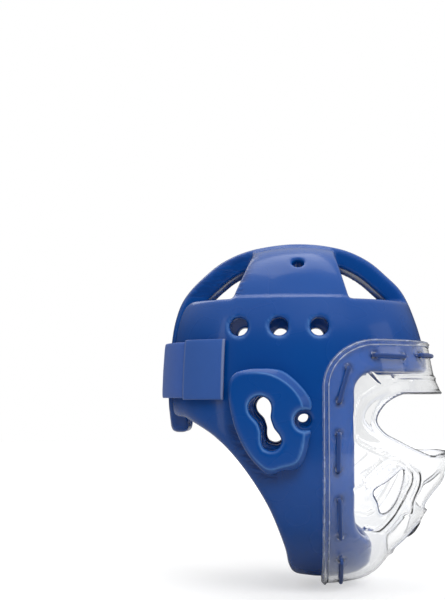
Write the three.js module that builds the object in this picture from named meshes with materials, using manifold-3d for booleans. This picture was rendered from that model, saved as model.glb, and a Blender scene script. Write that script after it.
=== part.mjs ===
// Taekwondo headgear: a dipped foam shell with raised ear guards, a clear face shield laced to it,
// and a wide elastic strap round the back. Millimetres, +X is where the face looks, +Y is the wearer's
// left, +Z is up. The origin is the inside of the crown, where the top of the head touches the foam.
import * as THREE from 'three';
import Module from 'manifold-3d';
import { mergeVertices } from 'three/addons/utils/BufferGeometryUtils.js';

// Foam shell, outside sizes measured from the origin
const CROWN_WALL = 16;
const SIDE_WALL = 18;
const FRONT_WALL = 14;
const BACK_WALL = 16;
const JAW_WALL = 18;
const SHELL_HALF_WIDTH = 106;
const FRONT_REACH = 118;
const BACK_REACH = 119;
const JAW_DROP = 286;

// Crown cross: a strip from brow to neck, and an arm down to each side of the ring
const RING_TOP_DROP = 39;
const STRIP_HALF_WIDTH = 28.5;
const ARM_TOP_FRONT = 33;
const ARM_TOP_REAR = 41;
const ARM_FOOT_FRONT = 44;
const ARM_FOOT_REAR = 57;
const ARM_HOLE_DIAMETER = 12;
const ARM_HOLE_DROP = 6;

// Rear of the shell: the slits beside the strip, the neck tab and the cut under the panels
const SLIT_WIDTH = 11.5;
const PANEL_CORNER = 12;
const TAB_DROP = 156;
const TAB_CORNER = 12;
const NECK_CUT_DROP = 142;
const NECK_CUT_REAR = 100;
const JAW_REAR = 9;

// Face opening of the foam
const BROW_DROP = 103;
const CHEEK_EDGE = 47;
const OPENING_CORNER = 17;
const CHIN_CUP_DROP = 244;
const CHIN_CUP_EDGE = 54.5;
const CHIN_CUP_FRONT = 66.5;
const CHIN_CUP_FOOT = 266;

// Vent holes, three on each side
const VENT_DIAMETER = 17;
const VENT_DROP = 66;
const VENT_PITCH = 34.4;
const VENT_MIDDLE = -16.5;

// Ear guards
const EAR_FORWARD = -24;
const EAR_DROP = 143.5;
const EAR_HALF_LENGTH = 34.5;
const EAR_HALF_HEIGHT = 43.5;
const EAR_OUT = 123.5;
const EAR_BEVEL = 6;
const EAR_NOTCH = 8.2;
const EAR_HOLE = 4.6;
const SLOT_UPPER_RADIUS = 8.5;
const SLOT_LOWER_RADIUS = 7;
const SLOT_WAIST = 9;
const SLOT_CENTRES = 29.6;
const SLOT_LEAN = 0.33;

// Face shield
const SHIELD_WALL = 2.5;
const SHIELD_REACH = 135;
const SHIELD_DROP = 292.5;
const SHIELD_TOP = 75;
const FLANGE_EDGE = 21;
const FLANGE_CORNER = 46;
const FLANGE_CORNER_DROP = 41;

// Openings of the shield, each with its edges as drops below the origin
const EYE_TOP = 120.7;
const EYE_BOTTOM = 175;
const EYE_REAR = 65.4;
const NOSE_TOP = 194;
const NOSE_BOTTOM = 226;
const NOSE_HALF_WIDTH = 39;
const CHIN_VENT_TOP = 234;
const CHIN_VENT_BOTTOM = 265;
const CHIN_VENT_HALF_WIDTH = 43.5;
const SIDE_VENT_TOP = 185;
const SIDE_VENT_BOTTOM = 223;
const SIDE_VENT_REAR = 62.5;
const SIDE_VENT_FRONT = 88.5;

// Lacing
const CORD_DIAMETER = 3.3;
const CORD_SIDES = 6;
const CORD_CLEARANCE = 0.55;

// Rear strap, its end layers and the tag
const STRAP_WIDTH = 49;
const STRAP_TOP = 76;
const STRAP_WALL = 2;
const STRAP_END_RIGHT = 64;
const STRAP_END_LEFT = 82;
const PATCH_LENGTH = 35;
const PATCH_WALL = 1.6;
const PATCH_RISE = 1.5;
const LABEL_WIDTH = 15;
const LABEL_HEIGHT = 28;
const LABEL_WALL = 0.8;

// Pieces that touch keep this gap
const GAP = 0.35;

// Fineness of the faceted surfaces
const COLUMNS = 32;
const SHELL_ROWS = 19;
const SHIELD_ROWS = 16;

// Horizontal sections of the shell from crown to jaw. drop is the share of the form's whole height,
// half, front and back are shares of its half width and reaches, centre is the middle of the section as
// a share of the front reach, and power is the squareness of the plan, where 2 is an ellipse.
const SHELL_SECTIONS = [
  { drop: 0, half: 0, front: 0, back: 0, centre: 0, power: 2 },
  { drop: 0.010, half: 0.35, front: 0.26, back: 0.25, centre: 0, power: 2.1 },
  { drop: 0.023, half: 0.48, front: 0.39, back: 0.40, centre: 0, power: 2.25 },
  { drop: 0.056, half: 0.64, front: 0.56, back: 0.59, centre: 0, power: 2.2 },
  { drop: 0.10, half: 0.75, front: 0.69, back: 0.73, centre: 0, power: 2.25 },
  { drop: 0.14, half: 0.82, front: 0.79, back: 0.83, centre: 0, power: 2.3 },
  { drop: 0.18, half: 0.88, front: 0.85, back: 0.90, centre: 0, power: 2.25 },
  { drop: 0.23, half: 0.93, front: 0.90, back: 0.945, centre: 0, power: 2.3 },
  { drop: 0.28, half: 0.965, front: 0.94, back: 0.97, centre: 0, power: 2.3 },
  { drop: 0.36, half: 0.985, front: 0.985, back: 0.99, centre: 0, power: 2.3 },
  { drop: 0.47, half: 0.995, front: 1, back: 1, centre: 0, power: 2.3 },
  { drop: 0.55, half: 1, front: 0.985, back: 0.98, centre: 0, power: 2.3 },
  { drop: 0.67, half: 1, front: 0.93, back: 0.94, centre: 0, power: 2.3 },
  { drop: 0.72, half: 0.985, front: 0.88, back: 0.91, centre: 0, power: 2.3 },
  { drop: 0.775, half: 0.94, front: 0.80, back: 0.87, centre: 0.02, power: 2.3 },
  { drop: 0.84, half: 0.85, front: 0.68, back: 0.80, centre: 0.04, power: 2.3 },
  { drop: 0.895, half: 0.70, front: 0.60, back: 0.74, centre: 0.08, power: 2.35 },
  { drop: 0.934, half: 0.55, front: 0.56, back: 0.66, centre: 0.12, power: 2.4 },
  { drop: 0.96, half: 0.42, front: 0.53, back: 0.52, centre: 0.15, power: 2.4 },
  { drop: 0.98, half: 0.29, front: 0.47, back: 0.33, centre: 0.17, power: 2.3 },
  { drop: 0.993, half: 0.17, front: 0.37, back: 0.14, centre: 0.17, power: 2.1 },
  { drop: 1, half: 0, front: 0.17, back: -0.17, centre: 0.17, power: 2 },
];

// Front reach of the shield down its middle, as shares of the shield's height and reach. It bulges over
// the nose, falls back under the nose hole and again under the chin vent.
const SHIELD_FRONT = [
  { drop: 0, front: 0 },
  { drop: 0.06, front: 0.49 },
  { drop: 0.14, front: 0.69 },
  { drop: 0.22, front: 0.81 },
  { drop: 0.295, front: 0.867 },
  { drop: 0.40, front: 0.916 },
  { drop: 0.44, front: 0.953 },
  { drop: 0.54, front: 0.989 },
  { drop: 0.62, front: 1 },
  { drop: 0.668, front: 0.985 },
  { drop: 0.70, front: 0.955 },
  { drop: 0.73, front: 0.90 },
  { drop: 0.762, front: 0.857 },
  { drop: 0.79, front: 0.85 },
  { drop: 0.836, front: 0.785 },
  { drop: 0.86, front: 0.735 },
  { drop: 0.887, front: 0.66 },
  { drop: 0.914, front: 0.605 },
  { drop: 0.94, front: 0.56 },
  { drop: 0.96, front: 0.515 },
  { drop: 0.98, front: 0.44 },
  { drop: 0.993, front: 0.33 },
  { drop: 1, front: 0.185 },
];

// Holes of the lacing on each side, in the order that the cord takes from the middle of the forehead to
// under the jaw. forward is the place along X, down is the place below the origin.
const LACE_HOLES = [
  { forward: 106, down: 87.5 },
  { forward: 91, down: 89.5 },
  { forward: 65, down: 88.5 },
  { forward: 42, down: 99.5 },
  { forward: 34, down: 128 },
  { forward: 33.5, down: 155 },
  { forward: 33, down: 186 },
  { forward: 34, down: 211 },
  { forward: 35, down: 243 },
  { forward: 36.5, down: 265.5 },
  { forward: 37, down: 287.5 },
];

const wasm = await Module();
wasm.setup();

function turnOf(drop) {
  return Math.acos(1 - 2 * Math.min(Math.max(drop, 0), 1));
}

// Smooth curve through one column of a table. Rows are spaced by the angle whose cosine is their height,
// so a form closes round at both poles.
function readTable(rows, column, drop) {
  const turn = turnOf(drop);
  const turns = rows.map((row) => turnOf(row.drop));
  let i = 0;
  while (i < rows.length - 2 && turn > turns[i + 1]) i += 1;
  const slope = (k) => {
    const a = Math.max(k - 1, 0);
    const b = Math.min(k + 1, rows.length - 1);
    return (rows[b][column] - rows[a][column]) / (turns[b] - turns[a]);
  };
  const span = turns[i + 1] - turns[i];
  const t = (turn - turns[i]) / span;
  const t2 = t * t;
  const t3 = t2 * t;
  return (2 * t3 - 3 * t2 + 1) * rows[i][column]
    + (t3 - 2 * t2 + t) * span * slope(i)
    + (3 * t2 - 2 * t3) * rows[i + 1][column]
    + (t3 - t2) * span * slope(i + 1);
}

// A form is a closed surface of sections: its sizes, and the table that its front reach is read from.
function makeForm(top, bottom, half, front, back, frontRows = SHELL_SECTIONS) {
  return { top, bottom, half, front, back, frontRows };
}

function grown(form, by) {
  return makeForm(form.top + by, form.bottom - by, form.half + by, form.front + by, form.back + by,
    form.frontRows);
}

function sectionAt(form, z) {
  const drop = (form.top - z) / (form.top - form.bottom);
  const centre = readTable(SHELL_SECTIONS, 'centre', drop) * form.front;
  return {
    centre,
    ahead: Math.max(readTable(form.frontRows, 'front', drop) * form.front - centre, 0),
    behind: Math.max(readTable(SHELL_SECTIONS, 'back', drop) * form.back + centre, 0),
    half: Math.max(readTable(SHELL_SECTIONS, 'half', drop) * form.half, 0),
    power: readTable(SHELL_SECTIONS, 'power', drop),
  };
}

const signedPower = (value, power) => Math.sign(value) * Math.abs(value) ** power;

function sectionPoint(section, angle, z) {
  const along = signedPower(Math.cos(angle), 2 / section.power);
  const across = signedPower(Math.sin(angle), 2 / section.power);
  const reach = along > 0 ? section.ahead : section.behind;
  return [section.centre + reach * along, section.half * across, z];
}

// Solid between two heights of a form. A height at a pole becomes one point, any other gets a flat cap.
function loft(form, zTop, zBottom, rows) {
  const points = [];
  const faces = [];
  const first = turnOf((form.top - zTop) / (form.top - form.bottom));
  const last = turnOf((form.top - zBottom) / (form.top - form.bottom));
  for (let row = 0; row <= rows; row += 1) {
    const turn = first + ((last - first) * row) / rows;
    const z = form.top - ((form.top - form.bottom) * (1 - Math.cos(turn))) / 2;
    const section = sectionAt(form, z);
    for (let column = 0; column < COLUMNS; column += 1) {
      points.push(sectionPoint(section, (2 * Math.PI * column) / COLUMNS, z));
    }
  }
  const at = (row, column) => row * COLUMNS + (column % COLUMNS);
  for (let row = 0; row < rows; row += 1) {
    for (let column = 0; column < COLUMNS; column += 1) {
      faces.push([at(row, column), at(row + 1, column), at(row + 1, column + 1)]);
      faces.push([at(row, column), at(row + 1, column + 1), at(row, column + 1)]);
    }
  }
  const cap = (row, z, up) => {
    const section = sectionAt(form, z);
    points.push([section.centre, 0, z]);
    const middle = points.length - 1;
    for (let column = 0; column < COLUMNS; column += 1) {
      const a = at(row, column);
      const b = at(row, column + 1);
      faces.push(up ? [middle, a, b] : [middle, b, a]);
    }
  };
  cap(0, zTop, true);
  cap(rows, zBottom, false);
  return solidFromFaces(points, faces);
}

// Joins equal points, drops the faces that a pole has flattened, and hands the rest over as a solid.
function solidFromFaces(points, faces) {
  const geometry = new THREE.BufferGeometry();
  geometry.setAttribute('position', new THREE.Float32BufferAttribute(points.flat(), 3));
  geometry.setIndex(faces.flat());
  return toSolid(geometry);
}

function toSolid(source) {
  const bare = source.clone();
  bare.deleteAttribute('normal');
  bare.deleteAttribute('uv');
  const merged = mergeVertices(bare, 1e-4);
  const index = Array.from(merged.index.array);
  const kept = [];
  for (let i = 0; i < index.length; i += 3) {
    const [a, b, c] = index.slice(i, i + 3);
    if (a !== b && b !== c && a !== c) kept.push(a, b, c);
  }
  return new wasm.Manifold(new wasm.Mesh({
    numProp: 3,
    vertProperties: new Float32Array(merged.attributes.position.array),
    triVerts: new Uint32Array(kept),
  }));
}

// Extrusions of an outline: drawn in X and Z and run along Y, or drawn in Y and Z and run along X.
function prismAlongY(shape, from, to, bevel = 0, curveSegments = 6) {
  const geometry = new THREE.ExtrudeGeometry(shape, {
    depth: to - from - 2 * bevel,
    bevelEnabled: bevel > 0,
    bevelThickness: bevel,
    bevelSize: bevel,
    bevelOffset: -bevel,
    bevelSegments: 2,
    curveSegments,
  });
  geometry.rotateX(Math.PI / 2);
  geometry.translate(0, to - bevel, 0);
  return toSolid(geometry);
}

function prismAlongX(shape, from, to, curveSegments = 6) {
  const geometry = new THREE.ExtrudeGeometry(shape, { depth: to - from, bevelEnabled: false, curveSegments });
  const axes = new THREE.Matrix4().makeBasis(
    new THREE.Vector3(0, 1, 0), new THREE.Vector3(0, 0, 1), new THREE.Vector3(1, 0, 0));
  geometry.applyMatrix4(axes);
  geometry.translate(from, 0, 0);
  return toSolid(geometry);
}

function box(xs, ys, zs) {
  const geometry = new THREE.BoxGeometry(xs[1] - xs[0], ys[1] - ys[0], zs[1] - zs[0]);
  geometry.translate((xs[0] + xs[1]) / 2, (ys[0] + ys[1]) / 2, (zs[0] + zs[1]) / 2);
  return toSolid(geometry);
}

// Round cutter from one point to another
function rod(from, to, radius, sides = 14) {
  const start = new THREE.Vector3(...from);
  const way = new THREE.Vector3(...to).sub(start);
  const geometry = new THREE.CylinderGeometry(radius, radius, way.length(), sides);
  geometry.translate(0, way.length() / 2, 0);
  geometry.applyQuaternion(new THREE.Quaternion().setFromUnitVectors(
    new THREE.Vector3(0, 1, 0), way.clone().normalize()));
  geometry.translate(start.x, start.y, start.z);
  return toSolid(geometry);
}

function splineShape(points) {
  const shape = new THREE.Shape();
  const [first, ...rest] = points.map(([x, z]) => new THREE.Vector2(x, z));
  shape.moveTo(first.x, first.y);
  shape.splineThru([...rest, first]);
  return shape;
}

const shellForm = makeForm(CROWN_WALL, -JAW_DROP, SHELL_HALF_WIDTH, FRONT_REACH, BACK_REACH);
const headForm = makeForm(0, JAW_WALL - JAW_DROP, SHELL_HALF_WIDTH - SIDE_WALL,
  FRONT_REACH - FRONT_WALL, BACK_REACH - BACK_WALL);
const shieldForm = makeForm(CROWN_WALL + SHIELD_WALL + GAP, -SHIELD_DROP,
  SHELL_HALF_WIDTH + SHIELD_WALL + GAP, SHIELD_REACH, BACK_REACH + SHIELD_WALL + GAP, SHIELD_FRONT);

// Cutters run from midway between the middle and the side, or from far outside, to far outside
const MIDWAY = 0.5 * SHELL_HALF_WIDTH;
const FAR = 1.5 * Math.max(EAR_OUT, FRONT_REACH, BACK_REACH, SHIELD_REACH);

// The face opening, from the brow's lower edge round the corner, down the cheek and into the chin cup
function faceOpening() {
  const shape = new THREE.Shape();
  const ease = CHIN_CUP_FRONT - CHIN_CUP_EDGE;
  shape.moveTo(FAR, -BROW_DROP);
  shape.lineTo(FAR, -CHIN_CUP_FOOT);
  shape.lineTo(CHIN_CUP_FRONT + GAP, -CHIN_CUP_FOOT);
  shape.quadraticCurveTo(CHIN_CUP_FRONT, -CHIN_CUP_DROP - ease / 2, CHIN_CUP_EDGE, -CHIN_CUP_DROP);
  shape.quadraticCurveTo(CHEEK_EDGE, -CHIN_CUP_DROP + ease / 2, CHEEK_EDGE, -CHIN_CUP_DROP + 2 * ease);
  shape.lineTo(CHEEK_EDGE, -BROW_DROP - OPENING_CORNER);
  shape.absarc(CHEEK_EDGE + OPENING_CORNER, -BROW_DROP - OPENING_CORNER, OPENING_CORNER,
    Math.PI, Math.PI / 2, true);
  return prismAlongY(shape, -FAR, FAR);
}

// Curve under the rear panels, as shares of the way from the neck forward to the jaw and down to its foot
const NECK_CURVE = [
  { ahead: 0.30, down: 0.11 },
  { ahead: 0.57, down: 0.285 },
  { ahead: 0.81, down: 0.52 },
  { ahead: 0.955, down: 0.76 },
  { ahead: 1, down: 0.905 },
  { ahead: 1.06, down: 0.98 },
  { ahead: 1.2, down: 1.01 },
];

// Everything behind the curve that runs from the rear panels down to the jaw
function neckCut() {
  const length = NECK_CUT_REAR - JAW_REAR;
  const height = JAW_DROP - NECK_CUT_DROP;
  const curve = NECK_CURVE.map(({ ahead, down }) => new THREE.Vector2(
    -NECK_CUT_REAR + ahead * length, -NECK_CUT_DROP - down * height));
  const shape = new THREE.Shape();
  shape.moveTo(-FAR, -NECK_CUT_DROP);
  shape.lineTo(-NECK_CUT_REAR, -NECK_CUT_DROP);
  shape.splineThru(curve);
  shape.lineTo(curve[curve.length - 1].x, -FAR - JAW_DROP);
  shape.lineTo(-FAR, -FAR - JAW_DROP);
  return prismAlongY(shape, -FAR, FAR, 0, 3);
}

// The neck tab that the strip ends in, seen from behind
function neckTab() {
  const shape = new THREE.Shape();
  shape.moveTo(STRIP_HALF_WIDTH, -RING_TOP_DROP);
  shape.lineTo(-STRIP_HALF_WIDTH, -RING_TOP_DROP);
  shape.lineTo(-STRIP_HALF_WIDTH, -TAB_DROP + TAB_CORNER);
  shape.absarc(-STRIP_HALF_WIDTH + TAB_CORNER, -TAB_DROP + TAB_CORNER, TAB_CORNER, Math.PI, 1.5 * Math.PI);
  shape.absarc(STRIP_HALF_WIDTH - TAB_CORNER, -TAB_DROP + TAB_CORNER, TAB_CORNER, 1.5 * Math.PI, 2 * Math.PI);
  return prismAlongX(shape, -FAR, -0.6 * BACK_REACH, 4);
}

// Side view of the arm that stays between the front and the rear window
function crownArms() {
  const shape = new THREE.Shape();
  shape.moveTo(-ARM_FOOT_REAR, -RING_TOP_DROP);
  shape.lineTo(ARM_FOOT_FRONT, -RING_TOP_DROP);
  shape.lineTo(ARM_TOP_FRONT, 0);
  shape.lineTo(ARM_TOP_FRONT, 2 * CROWN_WALL);
  shape.lineTo(-ARM_TOP_REAR, 2 * CROWN_WALL);
  shape.lineTo(-ARM_TOP_REAR, 0);
  return prismAlongY(shape, -FAR, FAR);
}

// Window on one side. At the rear it runs on down as the slit between strip and panel.
function crownWindow(side, rear) {
  const panelEdge = STRIP_HALF_WIDTH + SLIT_WIDTH;
  const shape = new THREE.Shape();
  const top = 2 * CROWN_WALL;
  if (rear) {
    shape.moveTo(STRIP_HALF_WIDTH, top);
    shape.lineTo(STRIP_HALF_WIDTH, -TAB_DROP - TAB_CORNER);
    shape.lineTo(panelEdge + PANEL_CORNER, -TAB_DROP - TAB_CORNER);
    shape.quadraticCurveTo(panelEdge, -TAB_DROP + TAB_CORNER, panelEdge, -TAB_DROP + 2 * TAB_CORNER);
    shape.lineTo(panelEdge, -RING_TOP_DROP - PANEL_CORNER);
    shape.absarc(panelEdge + PANEL_CORNER, -RING_TOP_DROP - PANEL_CORNER, PANEL_CORNER,
      Math.PI, Math.PI / 2, true);
  } else {
    shape.moveTo(STRIP_HALF_WIDTH, top);
    shape.lineTo(STRIP_HALF_WIDTH, -RING_TOP_DROP);
  }
  shape.lineTo(FAR, -RING_TOP_DROP);
  shape.lineTo(FAR, top);
  const prism = rear
    ? prismAlongX(shape, -FAR, -0.25 * BACK_REACH, 4)
    : prismAlongX(shape, 0.2 * FRONT_REACH, FAR, 4);
  return side > 0 ? prism : prism.mirror([0, 1, 0]);
}

// Peanut shaped slot of one ear: two round lobes on a leaning line, joined by a narrow waist
function peanutSlot(side) {
  const middle = new THREE.Vector2(EAR_FORWARD - 0.1 * EAR_HALF_LENGTH, -EAR_DROP - 0.08 * EAR_HALF_HEIGHT);
  const lean = new THREE.Vector2(-Math.sin(SLOT_LEAN), Math.cos(SLOT_LEAN));
  const upper = middle.clone().addScaledVector(lean, SLOT_CENTRES / 2);
  const lower = middle.clone().addScaledVector(lean, -SLOT_CENTRES / 2);
  const inner = side * MIDWAY;
  const outer = side * FAR;
  const waist = new THREE.BoxGeometry(SLOT_WAIST, Math.abs(outer - inner), SLOT_CENTRES);
  waist.rotateY(-SLOT_LEAN);
  waist.translate(middle.x, (inner + outer) / 2, middle.y);
  return rod([upper.x, inner, upper.y], [upper.x, outer, upper.y], SLOT_UPPER_RADIUS)
    .add(rod([lower.x, inner, lower.y], [lower.x, outer, lower.y], SLOT_LOWER_RADIUS))
    .add(toSolid(waist));
}

// Centre of the round hole in the front edge of the ear guard
const EAR_HOLE_PLACE = [EAR_FORWARD + 0.83 * EAR_HALF_LENGTH, -EAR_DROP];

function earHole(side, radius) {
  const [x, z] = EAR_HOLE_PLACE;
  return rod([x, side * MIDWAY, z], [x, side * FAR, z], radius, 12);
}

// Surface of a form at a place along X and Z, on the side asked for, with its outward direction
function fieldAt(form, x, y, z) {
  const section = sectionAt(form, z);
  const reach = x > section.centre ? section.ahead : section.behind;
  if (reach <= 0 || section.half <= 0) return 2;
  return (Math.abs(x - section.centre) / reach) ** section.power
    + (Math.abs(y) / section.half) ** section.power - 1;
}

function surfaceAt(form, x, z, side) {
  const section = sectionAt(form, z);
  const reach = x > section.centre ? section.ahead : section.behind;
  const share = Math.max(1 - (Math.abs(x - section.centre) / reach) ** section.power, 0);
  const y = side * section.half * share ** (1 / section.power);
  const step = 0.5;
  const outward = new THREE.Vector3(
    fieldAt(form, x + step, y, z) - fieldAt(form, x - step, y, z),
    fieldAt(form, x, y + step, z) - fieldAt(form, x, y - step, z),
    fieldAt(form, x, y, z + step) - fieldAt(form, x, y, z - step)).normalize();
  return { point: new THREE.Vector3(x, y, z), outward };
}

// How far in along the normal the hollow for the head begins
function depthToHead(place) {
  let shallow = 0;
  let deep = 3 * SIDE_WALL;
  for (let i = 0; i < 30; i += 1) {
    const middle = (shallow + deep) / 2;
    const p = place.point.clone().addScaledVector(place.outward, -middle);
    if (fieldAt(headForm, p.x, p.y, p.z) > 0) shallow = middle;
    else deep = middle;
  }
  return deep;
}

// A route that is sampled at its own points, so that short bends and long runs both keep theirs
class Route extends THREE.Curve {
  constructor(points) {
    super();
    this.points = points;
  }

  getPoint(t, target = new THREE.Vector3()) {
    const place = Math.min(Math.max(t, 0), 1) * (this.points.length - 1);
    const i = Math.min(Math.floor(place), this.points.length - 2);
    return target.lerpVectors(this.points[i], this.points[i + 1], place - i);
  }

  getUtoTmapping(u) {
    return u;
  }
}

// The four points where the cord turns in and out at one hole, all on the hole's own axis
function laceHole(hole, side) {
  const lift = CORD_DIAMETER / 2 + CORD_CLEARANCE;
  const place = surfaceAt(shieldForm, hole.forward, -hole.down, side);
  const depth = depthToHead(place);
  return [-lift, CORD_DIAMETER, depth - CORD_DIAMETER, depth + lift]
    .map((inward) => place.point.clone().addScaledVector(place.outward, -inward));
}

// Half of the cord, from the forehead to under the jaw: out of one hole, along, and in at the next
function laceHalf(side) {
  const lift = CORD_DIAMETER / 2 + CORD_CLEARANCE;
  const points = [];
  LACE_HOLES.forEach((hole, i) => {
    const inward = laceHole(hole, side);
    points.push(...(i % 2 === 0 ? inward : inward.reverse()));
    const next = LACE_HOLES[i + 1];
    if (next && i % 2 === 1) {
      for (const t of [1 / 4, 1 / 2, 3 / 4]) {
        const x = hole.forward + (next.forward - hole.forward) * t;
        const z = -(hole.down + (next.down - hole.down) * t);
        const way = surfaceAt(shieldForm, x, z, side);
        points.push(way.point.clone().addScaledVector(way.outward, lift));
      }
    }
  });
  return points;
}

// Points of the whole cord. Over the forehead it follows the front of the shield.
function lacePoints() {
  const lift = CORD_DIAMETER / 2 + CORD_CLEARANCE;
  const z = -LACE_HOLES[0].down;
  const section = sectionAt(shieldForm, z);
  const spread = surfaceAt(shieldForm, LACE_HOLES[0].forward, z, 1).point.y;
  const front = [-0.75, -0.5, -0.25, 0, 0.25, 0.5, 0.75].map((share) => {
    const y = share * spread;
    const reach = (1 - (Math.abs(y) / section.half) ** section.power) ** (1 / section.power);
    const way = surfaceAt(shieldForm, section.centre + section.ahead * reach, z, Math.sign(y));
    way.point.y = y;
    return way.point.addScaledVector(way.outward, lift);
  });
  return [...laceHalf(-1).reverse(), ...front, ...laceHalf(1)];
}

// Straight bores for the cord, from outside the shield to inside the foam
function laceBores() {
  const bores = [1, -1].flatMap((side) => LACE_HOLES.map((hole) => {
    const [outside, , , inside] = laceHole(hole, side);
    return rod(outside.toArray(), inside.toArray(), CORD_DIAMETER / 2 + CORD_CLEARANCE, 6);
  }));
  return bores.reduce((all, bore) => all.add(bore));
}

function cordSolid(points, radius) {
  const section = new THREE.Shape();
  section.absarc(0, 0, radius, 0, 2 * Math.PI, false);
  const geometry = new THREE.ExtrudeGeometry(section, {
    extrudePath: new Route(points),
    steps: points.length - 1,
    curveSegments: CORD_SIDES / 2,
    bevelEnabled: false,
  });
  return toSolid(geometry);
}

const laceRoute = lacePoints();
const laceBore = laceBores();
const shellKeepOut = loft(grown(shellForm, GAP), shellForm.top + GAP, shellForm.bottom - GAP, SHELL_ROWS);

function foamShell() {
  let solid = loft(shellForm, shellForm.top, shellForm.bottom, SHELL_ROWS)
    .subtract(loft(headForm, headForm.top, headForm.bottom, SHELL_ROWS));
  const windows = crownWindow(1, true).add(crownWindow(-1, true))
    .add(crownWindow(1, false)).add(crownWindow(-1, false)).subtract(crownArms());
  solid = solid.subtract(windows).subtract(faceOpening()).subtract(neckCut().subtract(neckTab()));
  for (const side of [1, -1]) {
    for (const step of [-1, 0, 1]) {
      const x = VENT_MIDDLE + step * VENT_PITCH;
      solid = solid.subtract(rod([x, side * MIDWAY, -VENT_DROP], [x, side * FAR, -VENT_DROP],
        VENT_DIAMETER / 2));
    }
    const arm = surfaceAt(shellForm, 0, -ARM_HOLE_DROP, side);
    const armFrom = arm.point.clone().addScaledVector(arm.outward, -2 * CROWN_WALL);
    const armTo = arm.point.clone().addScaledVector(arm.outward, CROWN_WALL);
    solid = solid.subtract(rod(armFrom.toArray(), armTo.toArray(), ARM_HOLE_DIAMETER / 2, 12));
    solid = solid.subtract(peanutSlot(side)).subtract(earHole(side, EAR_HOLE));
  }
  return solid.subtract(laceBore);
}

// Outline of the ear guard, as shares of its half length forward and its half height up
const EAR_OUTLINE = [
  { ahead: -0.79, up: 0.93 },
  { ahead: 0.09, up: 0.99 },
  { ahead: 0.55, up: 0.82 },
  { ahead: 0.99, up: 0.40 },
  { ahead: 0.96, up: 0.05 },
  { ahead: 0.86, up: -0.30 },
  { ahead: 0.67, up: -0.80 },
  { ahead: 0.30, up: -0.90 },
  { ahead: -0.08, up: -1.0 },
  { ahead: -0.54, up: -0.65 },
  { ahead: -0.88, up: -0.06 },
  { ahead: -1.0, up: 0.57 },
];

function earGuard(side) {
  const shape = splineShape(EAR_OUTLINE.map(({ ahead, up }) => [
    EAR_FORWARD + ahead * EAR_HALF_LENGTH, -EAR_DROP + up * EAR_HALF_HEIGHT]));
  const block = side > 0
    ? prismAlongY(shape, MIDWAY, EAR_OUT, EAR_BEVEL, 3)
    : prismAlongY(shape, -EAR_OUT, -MIDWAY, EAR_BEVEL, 3);
  return block.subtract(shellKeepOut).subtract(peanutSlot(side)).subtract(earHole(side, EAR_NOTCH));
}

// Side view of the shield: a straight flange on the cheek, a round corner and a level top edge
function shieldOutline() {
  const shape = new THREE.Shape();
  shape.moveTo(FLANGE_EDGE, -FAR - SHIELD_DROP);
  shape.lineTo(FAR, -FAR - SHIELD_DROP);
  shape.lineTo(FAR, -SHIELD_TOP);
  shape.lineTo(FLANGE_EDGE + FLANGE_CORNER, -SHIELD_TOP);
  shape.absellipse(FLANGE_EDGE + FLANGE_CORNER, -SHIELD_TOP - FLANGE_CORNER_DROP, FLANGE_CORNER,
    FLANGE_CORNER_DROP, Math.PI / 2, Math.PI, false);
  return prismAlongY(shape, -FAR, FAR);
}

// Eye opening in side view, as shares of the way from its rear corner to the front and from top to
// bottom. It ends in a round corner on each temple and dips towards the nose.
const EYE_OUTLINE = [
  { ahead: 0.32, down: 0.015 },
  { ahead: 0.112, down: 0.168 },
  { ahead: 0, down: 0.416 },
  { ahead: 0.092, down: 0.62 },
  { ahead: 0.27, down: 0.753 },
  { ahead: 0.60, down: 0.955 },
  { ahead: 0.72, down: 1 },
  { ahead: 0.90, down: 0.975 },
];

function eyeOpening() {
  const length = SHIELD_REACH - EYE_REAR;
  const height = EYE_BOTTOM - EYE_TOP;
  const curve = EYE_OUTLINE.map(({ ahead, down }) => new THREE.Vector2(
    EYE_REAR + ahead * length, -EYE_TOP - down * height));
  const shape = new THREE.Shape();
  shape.moveTo(FAR, -EYE_TOP);
  shape.lineTo(SHIELD_REACH - length / 2, -EYE_TOP);
  shape.splineThru(curve);
  shape.lineTo(FAR, curve[curve.length - 1].y);
  return prismAlongY(shape, -FAR, FAR, 0, 2);
}

// Half outlines from the middle to the side, as shares of the half width and of the way from top to bottom
const NOSE_OUTLINE = [
  { aside: 0.35, down: 0.08 },
  { aside: 0.75, down: 0.43 },
  { aside: 1, down: 0.76 },
  { aside: 0.85, down: 0.90 },
];
const CHIN_VENT_OUTLINE = [
  { aside: 0.45, down: 0.33 },
  { aside: 0.82, down: 0 },
  { aside: 1, down: 0.19 },
  { aside: 0.92, down: 0.66 },
  { aside: 0.5, down: 0.90 },
];

// Opening drawn from the front, a mirror image across the middle, run forward through the shield
function frontOpening(outline, middleTop, top, bottom, halfWidth, from) {
  const place = (aside, down) => [aside * halfWidth, -top - down * (bottom - top)];
  const left = outline.map(({ aside, down }) => place(aside, down));
  const right = outline.map(({ aside, down }) => place(-aside, down)).reverse();
  const shape = splineShape([place(0, middleTop), ...left, place(0, 1), ...right]);
  return prismAlongX(shape, from, FAR, 2);
}

// Side vent seen from the side, as shares of its length and height
const SIDE_VENT_OUTLINE = [
  { ahead: 1, down: 0 },
  { ahead: 0.5, down: 0.24 },
  { ahead: 0, down: 0.48 },
  { ahead: 0.12, down: 0.74 },
  { ahead: 0.25, down: 1 },
  { ahead: 0.56, down: 0.91 },
  { ahead: 0.87, down: 0.52 },
];

function sideVents() {
  const length = SIDE_VENT_FRONT - SIDE_VENT_REAR;
  const height = SIDE_VENT_BOTTOM - SIDE_VENT_TOP;
  const shape = splineShape(SIDE_VENT_OUTLINE.map(({ ahead, down }) => [
    SIDE_VENT_REAR + ahead * length, -SIDE_VENT_TOP - down * height]));
  return prismAlongY(shape, -FAR, FAR, 0, 2);
}

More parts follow.
